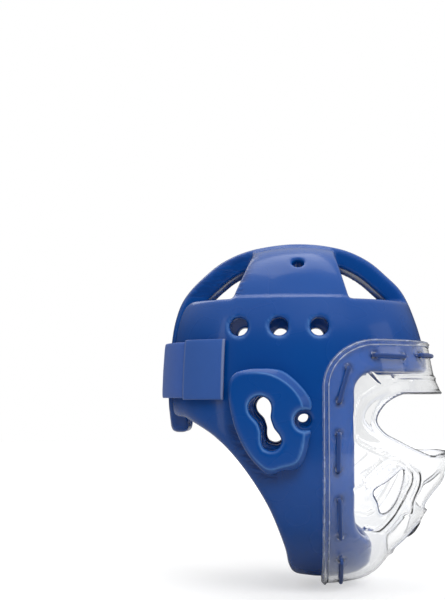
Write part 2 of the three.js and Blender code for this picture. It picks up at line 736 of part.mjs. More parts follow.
function faceShield() {
  const inner = grown(shieldForm, -SHIELD_WALL);
  const above = -SHIELD_TOP + 2 * SHIELD_WALL;
  return loft(shieldForm, above, shieldForm.bottom, SHIELD_ROWS)
    .subtract(loft(inner, above + SHIELD_WALL, inner.bottom, SHIELD_ROWS))
    .intersect(shieldOutline())
    .subtract(eyeOpening())
    .subtract(frontOpening(NOSE_OUTLINE, 0, NOSE_TOP, NOSE_BOTTOM, NOSE_HALF_WIDTH, EYE_REAR))
    .subtract(frontOpening(CHIN_VENT_OUTLINE, 0.52, CHIN_VENT_TOP, CHIN_VENT_BOTTOM,
      CHIN_VENT_HALF_WIDTH, CHIN_CUP_FRONT))
    .subtract(sideVents())
    .subtract(laceBore);
}

// A band of cloth round the shell at a distance from it, kept inside a box
function clothLayer(distance, wall, xs, ys, zs) {
  const outer = grown(shellForm, distance + wall);
  const inner = grown(shellForm, distance);
  return loft(outer, zs[1] + 2, zs[0] - 2, 3)
    .subtract(loft(inner, zs[1] + 3, zs[0] - 3, 3))
    .intersect(box(xs, ys, zs));
}

const strapHeights = [-STRAP_TOP - STRAP_WIDTH, -STRAP_TOP];
const patchHeights = [strapHeights[0] - PATCH_RISE, strapHeights[1] + PATCH_RISE];
const patchDistance = 2 * GAP + STRAP_WALL + GAP;

function rearStrap() {
  const right = box([-STRAP_END_RIGHT - 0.5, FAR], [-FAR, 0], [-FAR, 0]);
  const left = box([-STRAP_END_LEFT, FAR], [0, FAR], [-FAR, 0]);
  return clothLayer(2 * GAP, STRAP_WALL, [-FAR, 0], [-FAR, FAR], strapHeights)
    .subtract(right)
    .subtract(left);
}

function strapPatch(side) {
  const end = side > 0 ? STRAP_END_LEFT : STRAP_END_RIGHT;
  const length = side > 0 ? 0.62 * PATCH_LENGTH : PATCH_LENGTH;
  const ys = side > 0 ? [0.35 * SHELL_HALF_WIDTH, FAR] : [-FAR, -0.35 * SHELL_HALF_WIDTH];
  return clothLayer(patchDistance, PATCH_WALL, [-end - length, -end], ys, patchHeights);
}

function careLabel() {
  const middle = 0.44 * SHELL_HALF_WIDTH;
  const top = -STRAP_TOP - 0.22 * STRAP_WIDTH;
  return clothLayer(patchDistance, LABEL_WALL, [-FAR, -0.8 * BACK_REACH],
    [middle - LABEL_WIDTH / 2, middle + LABEL_WIDTH / 2], [top - LABEL_HEIGHT, top]);
}

const materials = {
  foam: new THREE.MeshStandardMaterial({ color: 0x00458c, roughness: 0.3, metalness: 0 }),
  clear: new THREE.MeshStandardMaterial({
    color: 0xf2f6f8, roughness: 0.08, metalness: 0, transparent: true, opacity: 0.3 }),
  cord: new THREE.MeshStandardMaterial({ color: 0x2b5596, roughness: 0.8, metalness: 0 }),
  elastic: new THREE.MeshStandardMaterial({ color: 0x2d5499, roughness: 0.75, metalness: 0 }),
  patch: new THREE.MeshStandardMaterial({ color: 0x3a5fa6, roughness: 0.7, metalness: 0 }),
  tag: new THREE.MeshStandardMaterial({ color: 0xf4f4f2, roughness: 0.8, metalness: 0 }),
};

function addPiece(group, name, solid, material) {
  const mesh = solid.getMesh();
  const geometry = new THREE.BufferGeometry();
  geometry.setAttribute('position', new THREE.BufferAttribute(new Float32Array(mesh.vertProperties), 3));
  geometry.setIndex(new THREE.BufferAttribute(new Uint32Array(mesh.triVerts), 1));
  geometry.computeVertexNormals();
  const piece = new THREE.Mesh(geometry, material);
  piece.name = name;
  group.add(piece);
}

const headgear = new THREE.Group();
headgear.name = 'taekwondo_headgear';
addPiece(headgear, 'foam_shell', foamShell(), materials.foam);
addPiece(headgear, 'ear_guard_right', earGuard(-1), materials.foam);
addPiece(headgear, 'ear_guard_left', earGuard(1), materials.foam);
addPiece(headgear, 'face_shield', faceShield(), materials.clear);
addPiece(headgear, 'lacing', cordSolid(laceRoute, CORD_DIAMETER / 2), materials.cord);
addPiece(headgear, 'rear_strap', rearStrap(), materials.elastic);
addPiece(headgear, 'strap_patch_right', strapPatch(-1), materials.patch);
addPiece(headgear, 'strap_patch_left', strapPatch(1), materials.patch);
addPiece(headgear, 'care_label', careLabel(), materials.tag);

export default headgear;
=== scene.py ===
# %% [markdown]
# # Taekwondo headgear with a clear face shield
#
# The real thing is a shell of soft foam, 14 to 18 mm thick, that is dipped in liquid vinyl. The dip leaves
# one glossy skin without seams, rounds every cut edge and gathers in small wrinkles where the foam bends.
# Two padded ear guards stand on the shell, a clear polycarbonate shield is laced to its front with cord, and
# a wide elastic strap closes the back.
#
# All lengths below are in millimetres and are turned into metres only when a mesh is made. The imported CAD
# model is the frame: +X is where the face looks, +Y is the wearer's left, +Z is up.

import math

import bpy
import numpy as np
import openvdb
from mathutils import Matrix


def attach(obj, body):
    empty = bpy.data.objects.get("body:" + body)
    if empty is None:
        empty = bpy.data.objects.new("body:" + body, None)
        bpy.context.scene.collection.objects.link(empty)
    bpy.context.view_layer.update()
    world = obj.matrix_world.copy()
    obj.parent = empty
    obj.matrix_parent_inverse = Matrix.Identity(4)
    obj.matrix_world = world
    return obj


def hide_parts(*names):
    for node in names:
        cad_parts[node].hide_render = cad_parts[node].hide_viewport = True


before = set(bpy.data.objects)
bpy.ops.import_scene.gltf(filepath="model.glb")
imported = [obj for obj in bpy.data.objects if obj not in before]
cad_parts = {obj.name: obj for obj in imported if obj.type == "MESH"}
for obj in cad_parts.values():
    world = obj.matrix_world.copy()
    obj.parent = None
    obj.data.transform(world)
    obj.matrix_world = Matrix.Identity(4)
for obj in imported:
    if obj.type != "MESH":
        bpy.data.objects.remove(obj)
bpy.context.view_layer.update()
MM = 0.001
print("CAD nodes:", sorted(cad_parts))

# %% [markdown]
# ## The forms behind every piece
#
# Shell, hollow and shield are closed forms built from horizontal sections. One table gives each section's
# half width, front and back reach, middle and squareness as shares of the form's own sizes. Rows are spaced
# by the angle whose cosine is their height, so a form closes round at both poles. Everything else in this
# file asks these forms where their surface is.

# %% Section tables
SECTION_ROWS = np.array([
    # drop, half, front, back, centre, power
    (0, 0, 0, 0, 0, 2), (0.010, 0.35, 0.26, 0.25, 0, 2.1), (0.023, 0.48, 0.39, 0.40, 0, 2.25),
    (0.056, 0.64, 0.56, 0.59, 0, 2.2), (0.10, 0.75, 0.69, 0.73, 0, 2.25), (0.14, 0.82, 0.79, 0.83, 0, 2.3),
    (0.18, 0.88, 0.85, 0.90, 0, 2.25), (0.23, 0.93, 0.90, 0.945, 0, 2.3), (0.28, 0.965, 0.94, 0.97, 0, 2.3),
    (0.36, 0.985, 0.985, 0.99, 0, 2.3), (0.47, 0.995, 1, 1, 0, 2.3), (0.55, 1, 0.985, 0.98, 0, 2.3),
    (0.67, 1, 0.93, 0.94, 0, 2.3), (0.72, 0.985, 0.88, 0.91, 0, 2.3), (0.775, 0.94, 0.80, 0.87, 0.02, 2.3),
    (0.84, 0.85, 0.68, 0.80, 0.04, 2.3), (0.895, 0.70, 0.60, 0.74, 0.08, 2.35),
    (0.934, 0.55, 0.56, 0.66, 0.12, 2.4), (0.96, 0.42, 0.53, 0.52, 0.15, 2.4),
    (0.98, 0.29, 0.47, 0.33, 0.17, 2.3), (0.993, 0.17, 0.37, 0.14, 0.17, 2.1), (1, 0, 0.17, -0.17, 0.17, 2),
])
SHIELD_ROWS = np.array([
    # drop, front
    (0, 0), (0.06, 0.49), (0.14, 0.69), (0.22, 0.81), (0.295, 0.867), (0.40, 0.916), (0.44, 0.953),
    (0.54, 0.989), (0.62, 1), (0.668, 0.985), (0.70, 0.955), (0.73, 0.90), (0.762, 0.857), (0.79, 0.85),
    (0.836, 0.785), (0.86, 0.735), (0.887, 0.66), (0.914, 0.605), (0.94, 0.56), (0.96, 0.515),
    (0.98, 0.44), (0.993, 0.33), (1, 0.185),
])


def turn_of(drop):
    """The angle whose cosine falls from 1 to -1 as drop goes from 0 to 1."""
    return np.arccos(1 - 2 * np.clip(drop, 0, 1))


def read_table(rows, column, drop):
    """Smooth curve through one column: cubic pieces in the angle, each with its neighbours' mean slope."""
    knots = turn_of(rows[:, 0])
    values = rows[:, column]
    before = np.maximum(np.arange(len(rows)) - 1, 0)
    after = np.minimum(np.arange(len(rows)) + 1, len(rows) - 1)
    slopes = (values[after] - values[before]) / (knots[after] - knots[before])
    turn = turn_of(drop)
    i = np.clip(np.searchsorted(knots[1:], turn), 0, len(rows) - 2)
    span = knots[i + 1] - knots[i]
    t = (turn - knots[i]) / span
    rise = t * t * (3 - 2 * t)
    return (values[i] * (1 - rise) + values[i + 1] * rise
            + span * t * (1 - t) * ((1 - t) * slopes[i] - t * slopes[i + 1]))


SHELL = {"top": 16, "bottom": -286, "half": 106, "front": 118, "back": 119, "rows": SECTION_ROWS, "column": 2}
HOLLOW = {"top": 0, "bottom": -268, "half": 88, "front": 104, "back": 103, "rows": SECTION_ROWS, "column": 2}
SHIELD = {"top": 18.85, "bottom": -292.5, "half": 108.85, "front": 135, "back": 121.85,
          "rows": SHIELD_ROWS, "column": 1}


def grown(form, by):
    """The same form with every size larger by one distance, or by an array of distances."""
    return dict(form, top=form["top"] + by, bottom=form["bottom"] - by, half=form["half"] + by,
                front=form["front"] + by, back=form["back"] + by)


def section_at(form, z):
    """Middle, reach ahead, reach behind, half width and squareness of the section at height z."""
    drop = (form["top"] - z) / (form["top"] - form["bottom"])
    centre = read_table(SECTION_ROWS, 4, drop) * form["front"]
    ahead = np.maximum(read_table(form["rows"], form["column"], drop) * form["front"] - centre, 1e-6)
    behind = np.maximum(read_table(SECTION_ROWS, 3, drop) * form["back"] + centre, 1e-6)
    half = np.maximum(read_table(SECTION_ROWS, 1, drop) * form["half"], 1e-6)
    return centre, ahead, behind, half, read_table(SECTION_ROWS, 5, drop)


def signed_power(value, power):
    """The size of a value to a power, with the value's own sign."""
    return np.sign(value) * np.abs(value) ** power


def form_point(form, angle, z):
    """Point of the section at height z: reach times cosine, half width times sine, both to 2 over power."""
    centre, ahead, behind, half, power = section_at(form, z)
    along = signed_power(np.cos(angle), 2 / power)
    across = signed_power(np.sin(angle), 2 / power)
    x = centre + np.where(along > 0, ahead, behind) * along
    return np.stack(np.broadcast_arrays(x, half * across, z), -1)


def form_value(form, x, y, z):
    """Below zero inside the form and above zero outside it."""
    centre, ahead, behind, half, power = section_at(form, z)
    reach = np.where(x > centre, ahead, behind)
    return (np.abs(x - centre) / reach) ** power + (np.abs(y) / half) ** power - 1


def form_normal(form, points, step=0.5):
    """Outward direction: the slope of form_value by small steps along the three axes."""
    x, y, z = points[..., 0], points[..., 1], points[..., 2]
    slope = np.stack([
        form_value(form, x + step, y, z) - form_value(form, x - step, y, z),
        form_value(form, x, y + step, z) - form_value(form, x, y - step, z),
        form_value(form, x, y, z + step) - form_value(form, x, y, z - step)], -1)
    return slope / np.linalg.norm(slope, axis=-1, keepdims=True)


def side_point(form, x, z, side):
    """The point of the form's surface at a place seen from the side, on side 1 (left) or -1 (right)."""
    x, z = np.broadcast_arrays(np.asarray(x, float), np.asarray(z, float))
    centre, ahead, behind, half, power = section_at(form, z)
    share = np.maximum(1 - (np.abs(x - centre) / np.where(x > centre, ahead, behind)) ** power, 0)
    return np.stack([x, side * half * share ** (1 / power), z], -1)


print("brow point:", np.round(form_point(SHELL, 0.0, np.array(-100.0)), 1))

# %% [markdown]
# ## Outlines
#
# The openings are straight cuts through a curved wall, so each is an outline in the side view (x, z) or the
# front view (y, z). What the later cells need is the distance to such an outline, below zero inside it.

# %% Outline tools


def smooth_curve(points, steps=8, closed=True):
    """Catmull-Rom curve: each piece is the cubic whose end slopes are half the chord of its neighbours."""
    p = np.asarray(points, float)
    if closed:
        p0, p1, p2, p3 = np.roll(p, 1, 0), p, np.roll(p, -1, 0), np.roll(p, -2, 0)
    else:
        padded = np.vstack([p[:1], p, p[-1:]])
        p0, p1, p2, p3 = padded[:-3], padded[1:-2], padded[2:-1], padded[3:]
    t = (np.arange(steps) / steps)[None, :, None]
    p0, p1, p2, p3 = (q[:, None, :] for q in (p0, p1, p2, p3))
    curve = 0.5 * (2 * p1 + (p2 - p0) * t + (2 * p0 - 5 * p1 + 4 * p2 - p3) * t ** 2
                   + (3 * p1 - p0 - 3 * p2 + p3) * t ** 3).reshape(-1, p.shape[1])
    return curve if closed else np.vstack([curve, p[-1:]])


def arc(centre, radius, start, end, steps=10):
    """Points of a circular arc, angles in degrees."""
    a = np.radians(np.linspace(start, end, steps))
    return np.stack([centre[0] + radius * np.cos(a), centre[1] + radius * np.sin(a)], -1)


def outline_distance(outline, u, v, closed=True):
    """Distance from each (u, v) to the nearest edge. Inside a closed outline it is below zero: inside means
    that a line to the right crosses the outline an odd number of times."""
    a = np.asarray(outline, float)
    b = np.roll(a, -1, 0)
    if not closed:
        a, b = a[:-1], b[:-1]
    u, v = np.broadcast_arrays(u, v)
    best = np.full(u.shape, np.inf)
    odd = np.zeros(u.shape, bool)
    for (ax, ay), (bx, by) in zip(a, b):
        ex, ey = bx - ax, by - ay
        t = np.clip(((u - ax) * ex + (v - ay) * ey) / max(ex * ex + ey * ey, 1e-9), 0, 1)
        best = np.minimum(best, (u - ax - t * ex) ** 2 + (v - ay - t * ey) ** 2)
        if closed and ay != by:
            odd ^= ((ay > v) != (by > v)) & (u < ax + (v - ay) * ex / ey)
    return np.where(odd, -np.sqrt(best), np.sqrt(best))


def round_max(a, b, width):
    """Larger of two distances with the corner rounded: it adds (width - |a - b|)^2 / 4 width near a = b."""
    return np.maximum(a, b) + np.maximum(width - np.abs(a - b), 0) ** 2 / (4 * width)


def round_min(a, b, width):
    """Smaller of two distances with the corner rounded: minus the rounded maximum of their minuses."""
    return -round_max(-a, -b, width)


def crest(distance, width):
    """Smooth bump: 1 where the distance is zero, falling as e to the minus square of distance over width."""
    return np.exp(-(distance / width) ** 2)


SQUARE = [(0, 0), (10, 0), (10, 10), (0, 10)]
print("from the middle of a 10 mm square to its edge:", outline_distance(SQUARE, 5.0, 5.0))

# %% [markdown]
# The outlines of the shell. The face opening runs from the brow down the cheek into the chin cup, the neck
# cut frees everything behind the jaw, and the windows leave a strip from brow to neck and an arm to each
# side. Sizes are those of the CAD model, but the vents and the hole in each arm stand 2 mm higher.

# %% Shell outlines
FAR = 300
ABOVE = 60
BELOW = -360
RING_TOP = -39
STRIP_HALF = 28.5
CHEEK = 47
FACE_OPENING = np.vstack([
    [(FAR, -103), (FAR, -266), (66.8, -266), (66.4, -261)],
    smooth_curve([(65.4, -255), (61.5, -249.5), (54.5, -244), (49, -235), (CHEEK, -222)], 5, False),
    arc((CHEEK + 17, -120), 17, 180, 90)])
NECK_SHARES = np.array([(0, 0), (0.30, 0.11), (0.57, 0.285), (0.81, 0.52), (0.955, 0.76), (1, 0.905),
                        (1.06, 0.98), (1.2, 1.01)])
NECK_CURVE = smooth_curve(np.array([-100, -142]) + NECK_SHARES * np.array([91, -144]), 6, False)
NECK_CUT = np.vstack([[(-FAR, -142)], NECK_CURVE, [(NECK_CURVE[-1, 0], BELOW), (-FAR, BELOW)]])
TAB = np.vstack([
    [(STRIP_HALF, -20), (-STRIP_HALF, -20)],
    arc((-16.5, -144), 12, 180, 270), arc((16.5, -144), 12, 270, 360)])
REAR_WINDOW = np.vstack([
    [(STRIP_HALF, ABOVE), (STRIP_HALF, -172), (54, -172), (50, -160)],
    smooth_curve([(44, -150), (41, -141), (40, -130)], 5, False),
    arc((52, -51), 12, 180, 90), [(FAR, RING_TOP), (FAR, ABOVE)]])
FRONT_WINDOW = np.array([(STRIP_HALF, ABOVE), (STRIP_HALF, RING_TOP), (FAR, RING_TOP), (FAR, ABOVE)])
ARMS = np.array([(-57, -60), (44, -60), (44, RING_TOP), (33, 0), (33, ABOVE), (-41, ABOVE), (-41, 0),
                 (-57, RING_TOP)])
VENTS = [(-16.5 + step * 34.4, -64) for step in (-1, 0, 1)]
print("face opening:", len(FACE_OPENING), "points, neck cut:", len(NECK_CUT), "points")

# %% [markdown]
# The outlines of the ear guards: the foot on the shell, the line where the flat face ends, the notch in the
# front edge, and a slot like a peanut that goes through guard and shell.

# %% Ear guard outlines
EAR_MIDDLE = np.array([-24, -143.5])
EAR_SIZE = np.array([34.5, 43.5])
EAR_OUTLINE = smooth_curve(EAR_MIDDLE + EAR_SIZE * np.array([
    (-0.79, 0.93), (0.09, 0.99), (0.55, 0.82), (0.99, 0.40), (0.96, 0.05), (0.86, -0.30), (0.67, -0.80),
    (0.30, -0.90), (-0.08, -1.0), (-0.54, -0.65), (-0.88, -0.06), (-1.0, 0.57)]), 6)
EAR_FACE = smooth_curve([
    (-50.5, -106), (-41, -104), (-31, -104.2), (-22.5, -106), (-13.5, -110.5), (-4.6, -118), (1.4, -127),
    (3.6, -136), (3.8, -147), (4.2, -157), (3.6, -165), (1.2, -172.5), (-2, -177.5), (-7.5, -180.4),
    (-15, -182.2), (-24.5, -184.2), (-33, -179), (-41, -169.5), (-49, -155.5), (-53.6, -141), (-56.6, -125),
    (-55.8, -112.5)], 4)
NOTCH = np.array([EAR_MIDDLE[0] + 0.83 * EAR_SIZE[0], EAR_MIDDLE[1]])
SLOT_MIDDLE = np.array([-27.5, -147.0])
SLOT_LEAN = np.array([-math.sin(0.33), math.cos(0.33)])
SLOT_REACH = 14.8


def slot_distance(x, z):
    """Peanut: two round lobes, one at each end of the reach, joined through a narrower waist."""
    upper = SLOT_MIDDLE + SLOT_REACH * SLOT_LEAN
    lower = SLOT_MIDDLE - SLOT_REACH * SLOT_LEAN
    along = (x - SLOT_MIDDLE[0]) * SLOT_LEAN[0] + (z - SLOT_MIDDLE[1]) * SLOT_LEAN[1]
    aside = (x - SLOT_MIDDLE[0]) * SLOT_LEAN[1] - (z - SLOT_MIDDLE[1]) * SLOT_LEAN[0]
    waist = np.maximum(np.abs(aside) - 4.5, np.abs(along) - SLOT_REACH)
    lobes = np.minimum(np.hypot(x - upper[0], z - upper[1]) - 8.5, np.hypot(x - lower[0], z - lower[1]) - 7)
    return round_min(lobes, waist, 5)


print("ear outline:", len(EAR_OUTLINE), "points, middle of the slot:", slot_distance(*SLOT_MIDDLE))

# %% [markdown]
# ## The camera
#
# The side view is taken from 1.25 m away at the height of the ears, aimed slightly up and to the left, so
# that the headgear sits in the lower right of the frame.

# %% Camera
camera_data = bpy.data.cameras.new("camera")
camera_data.lens = 81.07
camera_data.sensor_width = 36
camera_data.sensor_fit = "AUTO"
camera = bpy.data.objects.new("camera", camera_data)
bpy.context.scene.collection.objects.link(camera)
camera.location = (-0.0037, -1.250, -0.125)
camera.rotation_euler = (math.radians(94.15), 0, math.radians(3.03))
bpy.context.scene.camera = camera
print("camera:", tuple(camera.location), "lens", camera_data.lens)

# %% [markdown]
# ## From a field of distances to a skin
#
# Dipped foam has no corner that a box model could start from: walls, arms and rims flow into each other. So
# the foam is described as a field on a 3-D grid, the distance to its skin at each grid point, below zero in
# the foam. Cutting is the larger of two fields, and a rounded edge comes from rounding that maximum. The
# skin is then read off where the field is zero.

# %% Field tools


def ring_quads(rings, count):
    """Quads between neighbouring rings of points: two corners on one ring and two on the next, and the last
    point of a ring is followed by its first."""
    i, j = np.meshgrid(np.arange(rings - 1), np.arange(count), indexing="ij")
    k = (j + 1) % count
    corners = [i * count + j, (i + 1) * count + j, (i + 1) * count + k, i * count + k]
    return np.stack(corners, -1).reshape(-1, 4)


def form_field(form, origin, voxel, shape):
    """Exact distance to a form on a grid: the form as a fine mesh, measured within 24 mm of its surface."""
    turn = np.linspace(0, np.pi, 181)[:, None]
    angle = np.linspace(0, 2 * np.pi, 216, endpoint=False)[None, :]
    height = form["top"] - form["bottom"]
    points = form_point(form, angle, form["top"] - height * (1 - np.cos(turn)) / 2)
    grid = openvdb.FloatGrid.createLevelSetFromPolygons(
        ((points.reshape(-1, 3) - origin) / voxel).astype(np.float32),
        quads=ring_quads(*points.shape[:2]).astype(np.uint32), halfWidth=24 / voxel)
    field = np.zeros(shape, np.float32)
    grid.copyToArray(field)
    return field * voxel


def sample(field, places):
    """Value between grid points: the eight corners of the cell, weighted by nearness."""
    low = np.clip(np.floor(places).astype(int), 0, np.array(field.shape) - 2)
    t = places - low
    total = 0
    for corner in np.ndindex(2, 2, 2):
        weight = np.prod(np.where(corner, t, 1 - t), axis=1)
        total = total + weight * field[tuple((low + corner).T)]
    return total


def skin_of(field, origin, voxel):
    """Points in millimetres and quads of the zero surface, settled onto it by two steps down the slope."""
    grid = openvdb.FloatGrid(3 * voxel)
    grid.copyFromArray(np.clip(field, -3 * voxel, 3 * voxel).astype(np.float32))
    places, quads = grid.convertToQuads(isovalue=0)
    places = places.astype(float)
    slopes = np.gradient(field)
    for _ in range(2):
        slope = np.stack([sample(part, places) for part in slopes], -1)
        size = np.maximum((slope ** 2).sum(1, keepdims=True), 0.2)
        places = places - sample(field, places)[:, None] * slope / size
    return origin + places * voxel, quads.astype(int)


def make_piece(name, points, faces, attributes=None, uv=None):
    """One smooth-shaded mesh object on the root body, points given in millimetres."""
    faces = faces if isinstance(faces, list) else faces.tolist()
    mesh = bpy.data.meshes.new(name)
    mesh.from_pydata((np.asarray(points) * MM).tolist(), [], faces)
    mesh.polygons.foreach_set("use_smooth", np.ones(len(mesh.polygons), bool))
    for key, values in (attributes or {}).items():
        mesh.attributes.new(key, "FLOAT", "POINT").data.foreach_set("value", np.asarray(values, np.float32))
    if uv is not None:
        corners = np.zeros(len(mesh.loops), int)
        mesh.loops.foreach_get("vertex_index", corners)
        layer = mesh.uv_layers.new(name="metres")
        layer.data.foreach_set("uv", (np.asarray(uv)[corners] * MM).astype(np.float32).ravel())
    mesh.update()
    piece = bpy.data.objects.new(name, mesh)
    bpy.context.scene.collection.objects.link(piece)
    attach(piece, "root")
    print(f"{name}: {len(mesh.vertices)} points, {len(mesh.polygons)} faces")
    return piece


# %% [markdown]
# ## The foam shell
#
# The wall is what lies inside the outer form and outside the hollow. Each cutter then takes its share with
# a rounded rim about 5 mm in radius, as the dip leaves it. Grid spacing is 2 mm.

# %% Shell field
VOXEL = 2.0
ORIGIN = np.array([-128.0, -116.0, -294.0])
SHAPE = (128, 117, 158)
X = (ORIGIN[0] + VOXEL * np.arange(SHAPE[0]))[:, None, None]
Y = (ORIGIN[1] + VOXEL * np.arange(SHAPE[1]))[None, :, None]
Z = (ORIGIN[2] + VOXEL * np.arange(SHAPE[2]))[None, None, :]
SIDE = np.abs(Y)
REAR_WINDOW_END = -29.75
FRONT_WINDOW_END = 23.6
TAB_END = -71.4
SIDE_HOLES_FROM = 53
ARM_INSET = 2.6
VENT_RADIUS = 7.8
ARM_HOLE = (0.0, -4.0)
ARM_HOLE_RADIUS = 5.2


def axis_distance(points, place, way):
    """Distance from each point to the straight axis through a place, and how far along the axis it lies."""
    gap = points - place
    along = gap @ way
    return np.sqrt(np.maximum((gap ** 2).sum(-1) - along ** 2, 0)), along


def shell_field():
    """Larger of all limits: outer form, minus hollow, minus windows, face opening, neck cut and holes."""
    outer = form_field(SHELL, ORIGIN, VOXEL, SHAPE)
    field = round_max(outer, -form_field(HOLLOW, ORIGIN, VOXEL, SHAPE), 4)
    rear = round_max(outline_distance(REAR_WINDOW, SIDE, Z), X - REAR_WINDOW_END, 6)
    front = round_max(outline_distance(FRONT_WINDOW, SIDE, Z), FRONT_WINDOW_END - X, 6)
    windows = round_max(np.minimum(rear, front), -outline_distance(ARMS, X, Z), 3)
    field = round_max(field, -windows, 3.5)
    step = round_max(-ARM_INSET - outer, STRIP_HALF + 1 - SIDE, 2)
    field = round_max(field, -round_max(step, RING_TOP + 1.5 - Z, 2), 1.5)
    field = round_max(field, -outline_distance(FACE_OPENING, X, Z), 6)
    tab = np.maximum(outline_distance(TAB, Y, Z), X - TAB_END)
    field = round_max(field, -round_max(outline_distance(NECK_CUT, X, Z), -tab, 3), 6)
    inward = SIDE_HOLES_FROM - SIDE
    for x, z in VENTS:
        field = round_max(field, -np.maximum(np.hypot(X - x, Z - z) - VENT_RADIUS, inward), 3)
    place = side_point(SHELL, *ARM_HOLE, 1)
    grid = np.stack(np.broadcast_arrays(X, SIDE, Z), -1)
    away, along = axis_distance(grid, place, form_normal(SHELL, place))
    field = round_max(field, -np.maximum(away - ARM_HOLE_RADIUS, np.abs(along) - 30), 2.5)
    field = round_max(field, -np.maximum(slot_distance(X, Z) - 3, inward), 3)
    return round_max(field, -np.maximum(np.hypot(X - NOTCH[0], Z - NOTCH[1]) - 5.4, inward), 2)


print("grid:", SHAPE, "points,", VOXEL, "mm apart")

# %% [markdown]
# The cord pulls the foam in at eleven holes on each side, so its skin has a dimple at each. The same
# distances give the finish its masks: where the dip gathers in wrinkles, with painted shade in their creases,
# painted shade round each lace hole, and a painted highlight on the rims of the vents.

# %% Dimples and masks
LACE_HOLES = np.array([(106, -87.5), (91, -89.5), (65, -88.5), (42, -99.5), (34, -128), (33.5, -155),
                       (33, -186), (34, -211), (35, -243), (36.5, -265.5), (37, -287.5)])
LACE_HOLE_DEPTH = 9


def hole_distance(points, form):
    """Distance from each point to the axis of the nearest lace hole, which is square to the form."""
    best = np.full(points.shape[:-1], np.inf)
    for side in (-1, 1):
        places = side_point(form, LACE_HOLES[:, 0], LACE_HOLES[:, 1], side)
        for place, way in zip(places, form_normal(form, places)):
            away, along = axis_distance(points, place, way)
            best = np.minimum(best, np.where(np.abs(along) < LACE_HOLE_DEPTH, away, np.inf))
    return best


def on_outer_skin(points):
    """True well outside the hollow, so that the inner skin stays smooth and plain."""
    return form_value(HOLLOW, *points.T) > 0.2


def gather_mask(points):
    """Where the dip wrinkles: on the rims of strip and arms and in the corner under each ear guard."""
    x, y, z = points.T
    rim = 0.6 * crest(np.abs(y) - STRIP_HALF, 3) * (z > -34) * (x < -44)
    arms = crest(outline_distance(ARMS, x, z) + 1, 4) * (z > -36) * (np.abs(y) > 30) * (x < 0)
    foot = crest(outline_distance(EAR_OUTLINE, x, z) - 2, 5) * (z < -148) * (x < -18)
    return np.clip(rim + arms + foot, 0, 1)


def vent_rim_highlights(points):
    """Painted highlight: 1 on the crest of each vent's rim, stronger towards the rim's lower back side."""
    x, _, z = points.T
    painted_highlight = 0
    for vent_x, vent_z in VENTS:
        toward = np.clip(0.45 - ((x - vent_x) + 0.7 * (z - vent_z)) / 22, 0.1, 0.8)
        painted_highlight = painted_highlight + toward * crest(np.hypot(x - vent_x, z - vent_z) - VENT_RADIUS - 2, 1.0)
    return painted_highlight * on_outer_skin(points)


# %% Shell mesh
DIMPLE_RADIUS = 3.0
DIMPLE_DEPTH = 4.0
points, quads = skin_of(shell_field(), ORIGIN, VOXEL)
# The same bump sinks the dimple and marks painted shade round each lace hole.
dimple_and_shade = crest(hole_distance(points, SHELL), DIMPLE_RADIUS)
sunk = DIMPLE_DEPTH * dimple_and_shade * on_outer_skin(points)
points = points - form_normal(SHELL, points) * sunk[:, None]
# Besides the wrinkles and the hole shade, the skin carries a painted highlight on the vents' rims.
foam_shell = make_piece("foam_shell_skin", points, quads,
                        {"gather": gather_mask(points), "dimple_and_shade": dimple_and_shade, "painted_highlight": vent_rim_highlights(points)})
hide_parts("foam_shell")

# %% [markdown]
# ## The ear guards
#
# Each guard is a thick pad with a flat outer face, a broad bevel round its rim and a notch in its front
# edge. It stands on the shell, so its inner side is the shell's own form. A finer grid keeps the slot's
# rounded lip crisp.

# %% Ear guards
EAR_VOXEL = 1.3
EAR_ORIGIN = np.array([-66.0, 58.0, -196.0])
EAR_SHAPE = (66, 54, 80)
EX = (EAR_ORIGIN[0] + EAR_VOXEL * np.arange(EAR_SHAPE[0]))[:, None, None]
EY = (EAR_ORIGIN[1] + EAR_VOXEL * np.arange(EAR_SHAPE[1]))[None, :, None]
EZ = (EAR_ORIGIN[2] + EAR_VOXEL * np.arange(EAR_SHAPE[2]))[None, None, :]
GUARD_FACE = 123.5
FOOT_SPREAD = 4
NOTCH_RADIUS = 8.0


def ear_field():
    """Outline and flat face joined by a bevel at 45 degrees that starts at the face's own line, outside the
    shell, minus slot and notch. The foot spreads at the lower front."""
    spread = FOOT_SPREAD * np.clip((EX + 34) / 34, 0, 1) * np.clip((-145 - EZ) / 8, 0, 1)
    outline = outline_distance(EAR_OUTLINE, EX, EZ) - spread
    face = EY - GUARD_FACE
    bevel = (outline_distance(EAR_FACE, EX, EZ) + face) / math.sqrt(2)
    block = round_max(round_max(outline, face, 3), bevel, 0.9)
    block = np.maximum(block, -form_field(grown(SHELL, 0.2), EAR_ORIGIN, EAR_VOXEL, EAR_SHAPE))
    block = round_max(block, -(slot_distance(EX, EZ) - 0.8), 4)
    return round_max(block, -(np.hypot(EX - NOTCH[0], EZ - NOTCH[1]) - NOTCH_RADIUS), 5)


def guard_rim_highlights(points):
    """Painted highlight: 1 on the crests of bevel, foot, slot and notch. Each fades
    towards the back or on the side that faces away from the light."""
    x, y, z = points.T
    bevel = crest(outline_distance(EAR_FACE, x, z), 0.65) * np.clip((x + 50) / 20, 0, 1)
    foot = 0.6 * crest(outline_distance(EAR_OUTLINE, x, z) + 1.2, 0.9) * np.clip((x + 30) / 20, 0, 1)
    slot = crest(slot_distance(x, z) - 2.6, 0.8) * np.clip((SLOT_MIDDLE[0] + 8 - x) / 10, 0.25, 1)
    notch = crest(np.hypot(x - NOTCH[0], z - NOTCH[1]) - NOTCH_RADIUS - 2, 0.9)
    slot = slot * (y > GUARD_FACE - 4.5)
    notch = notch * (y > GUARD_FACE - 6.5)
    return np.clip(np.maximum.reduce([bevel, foot, slot, notch]), 0, 1)


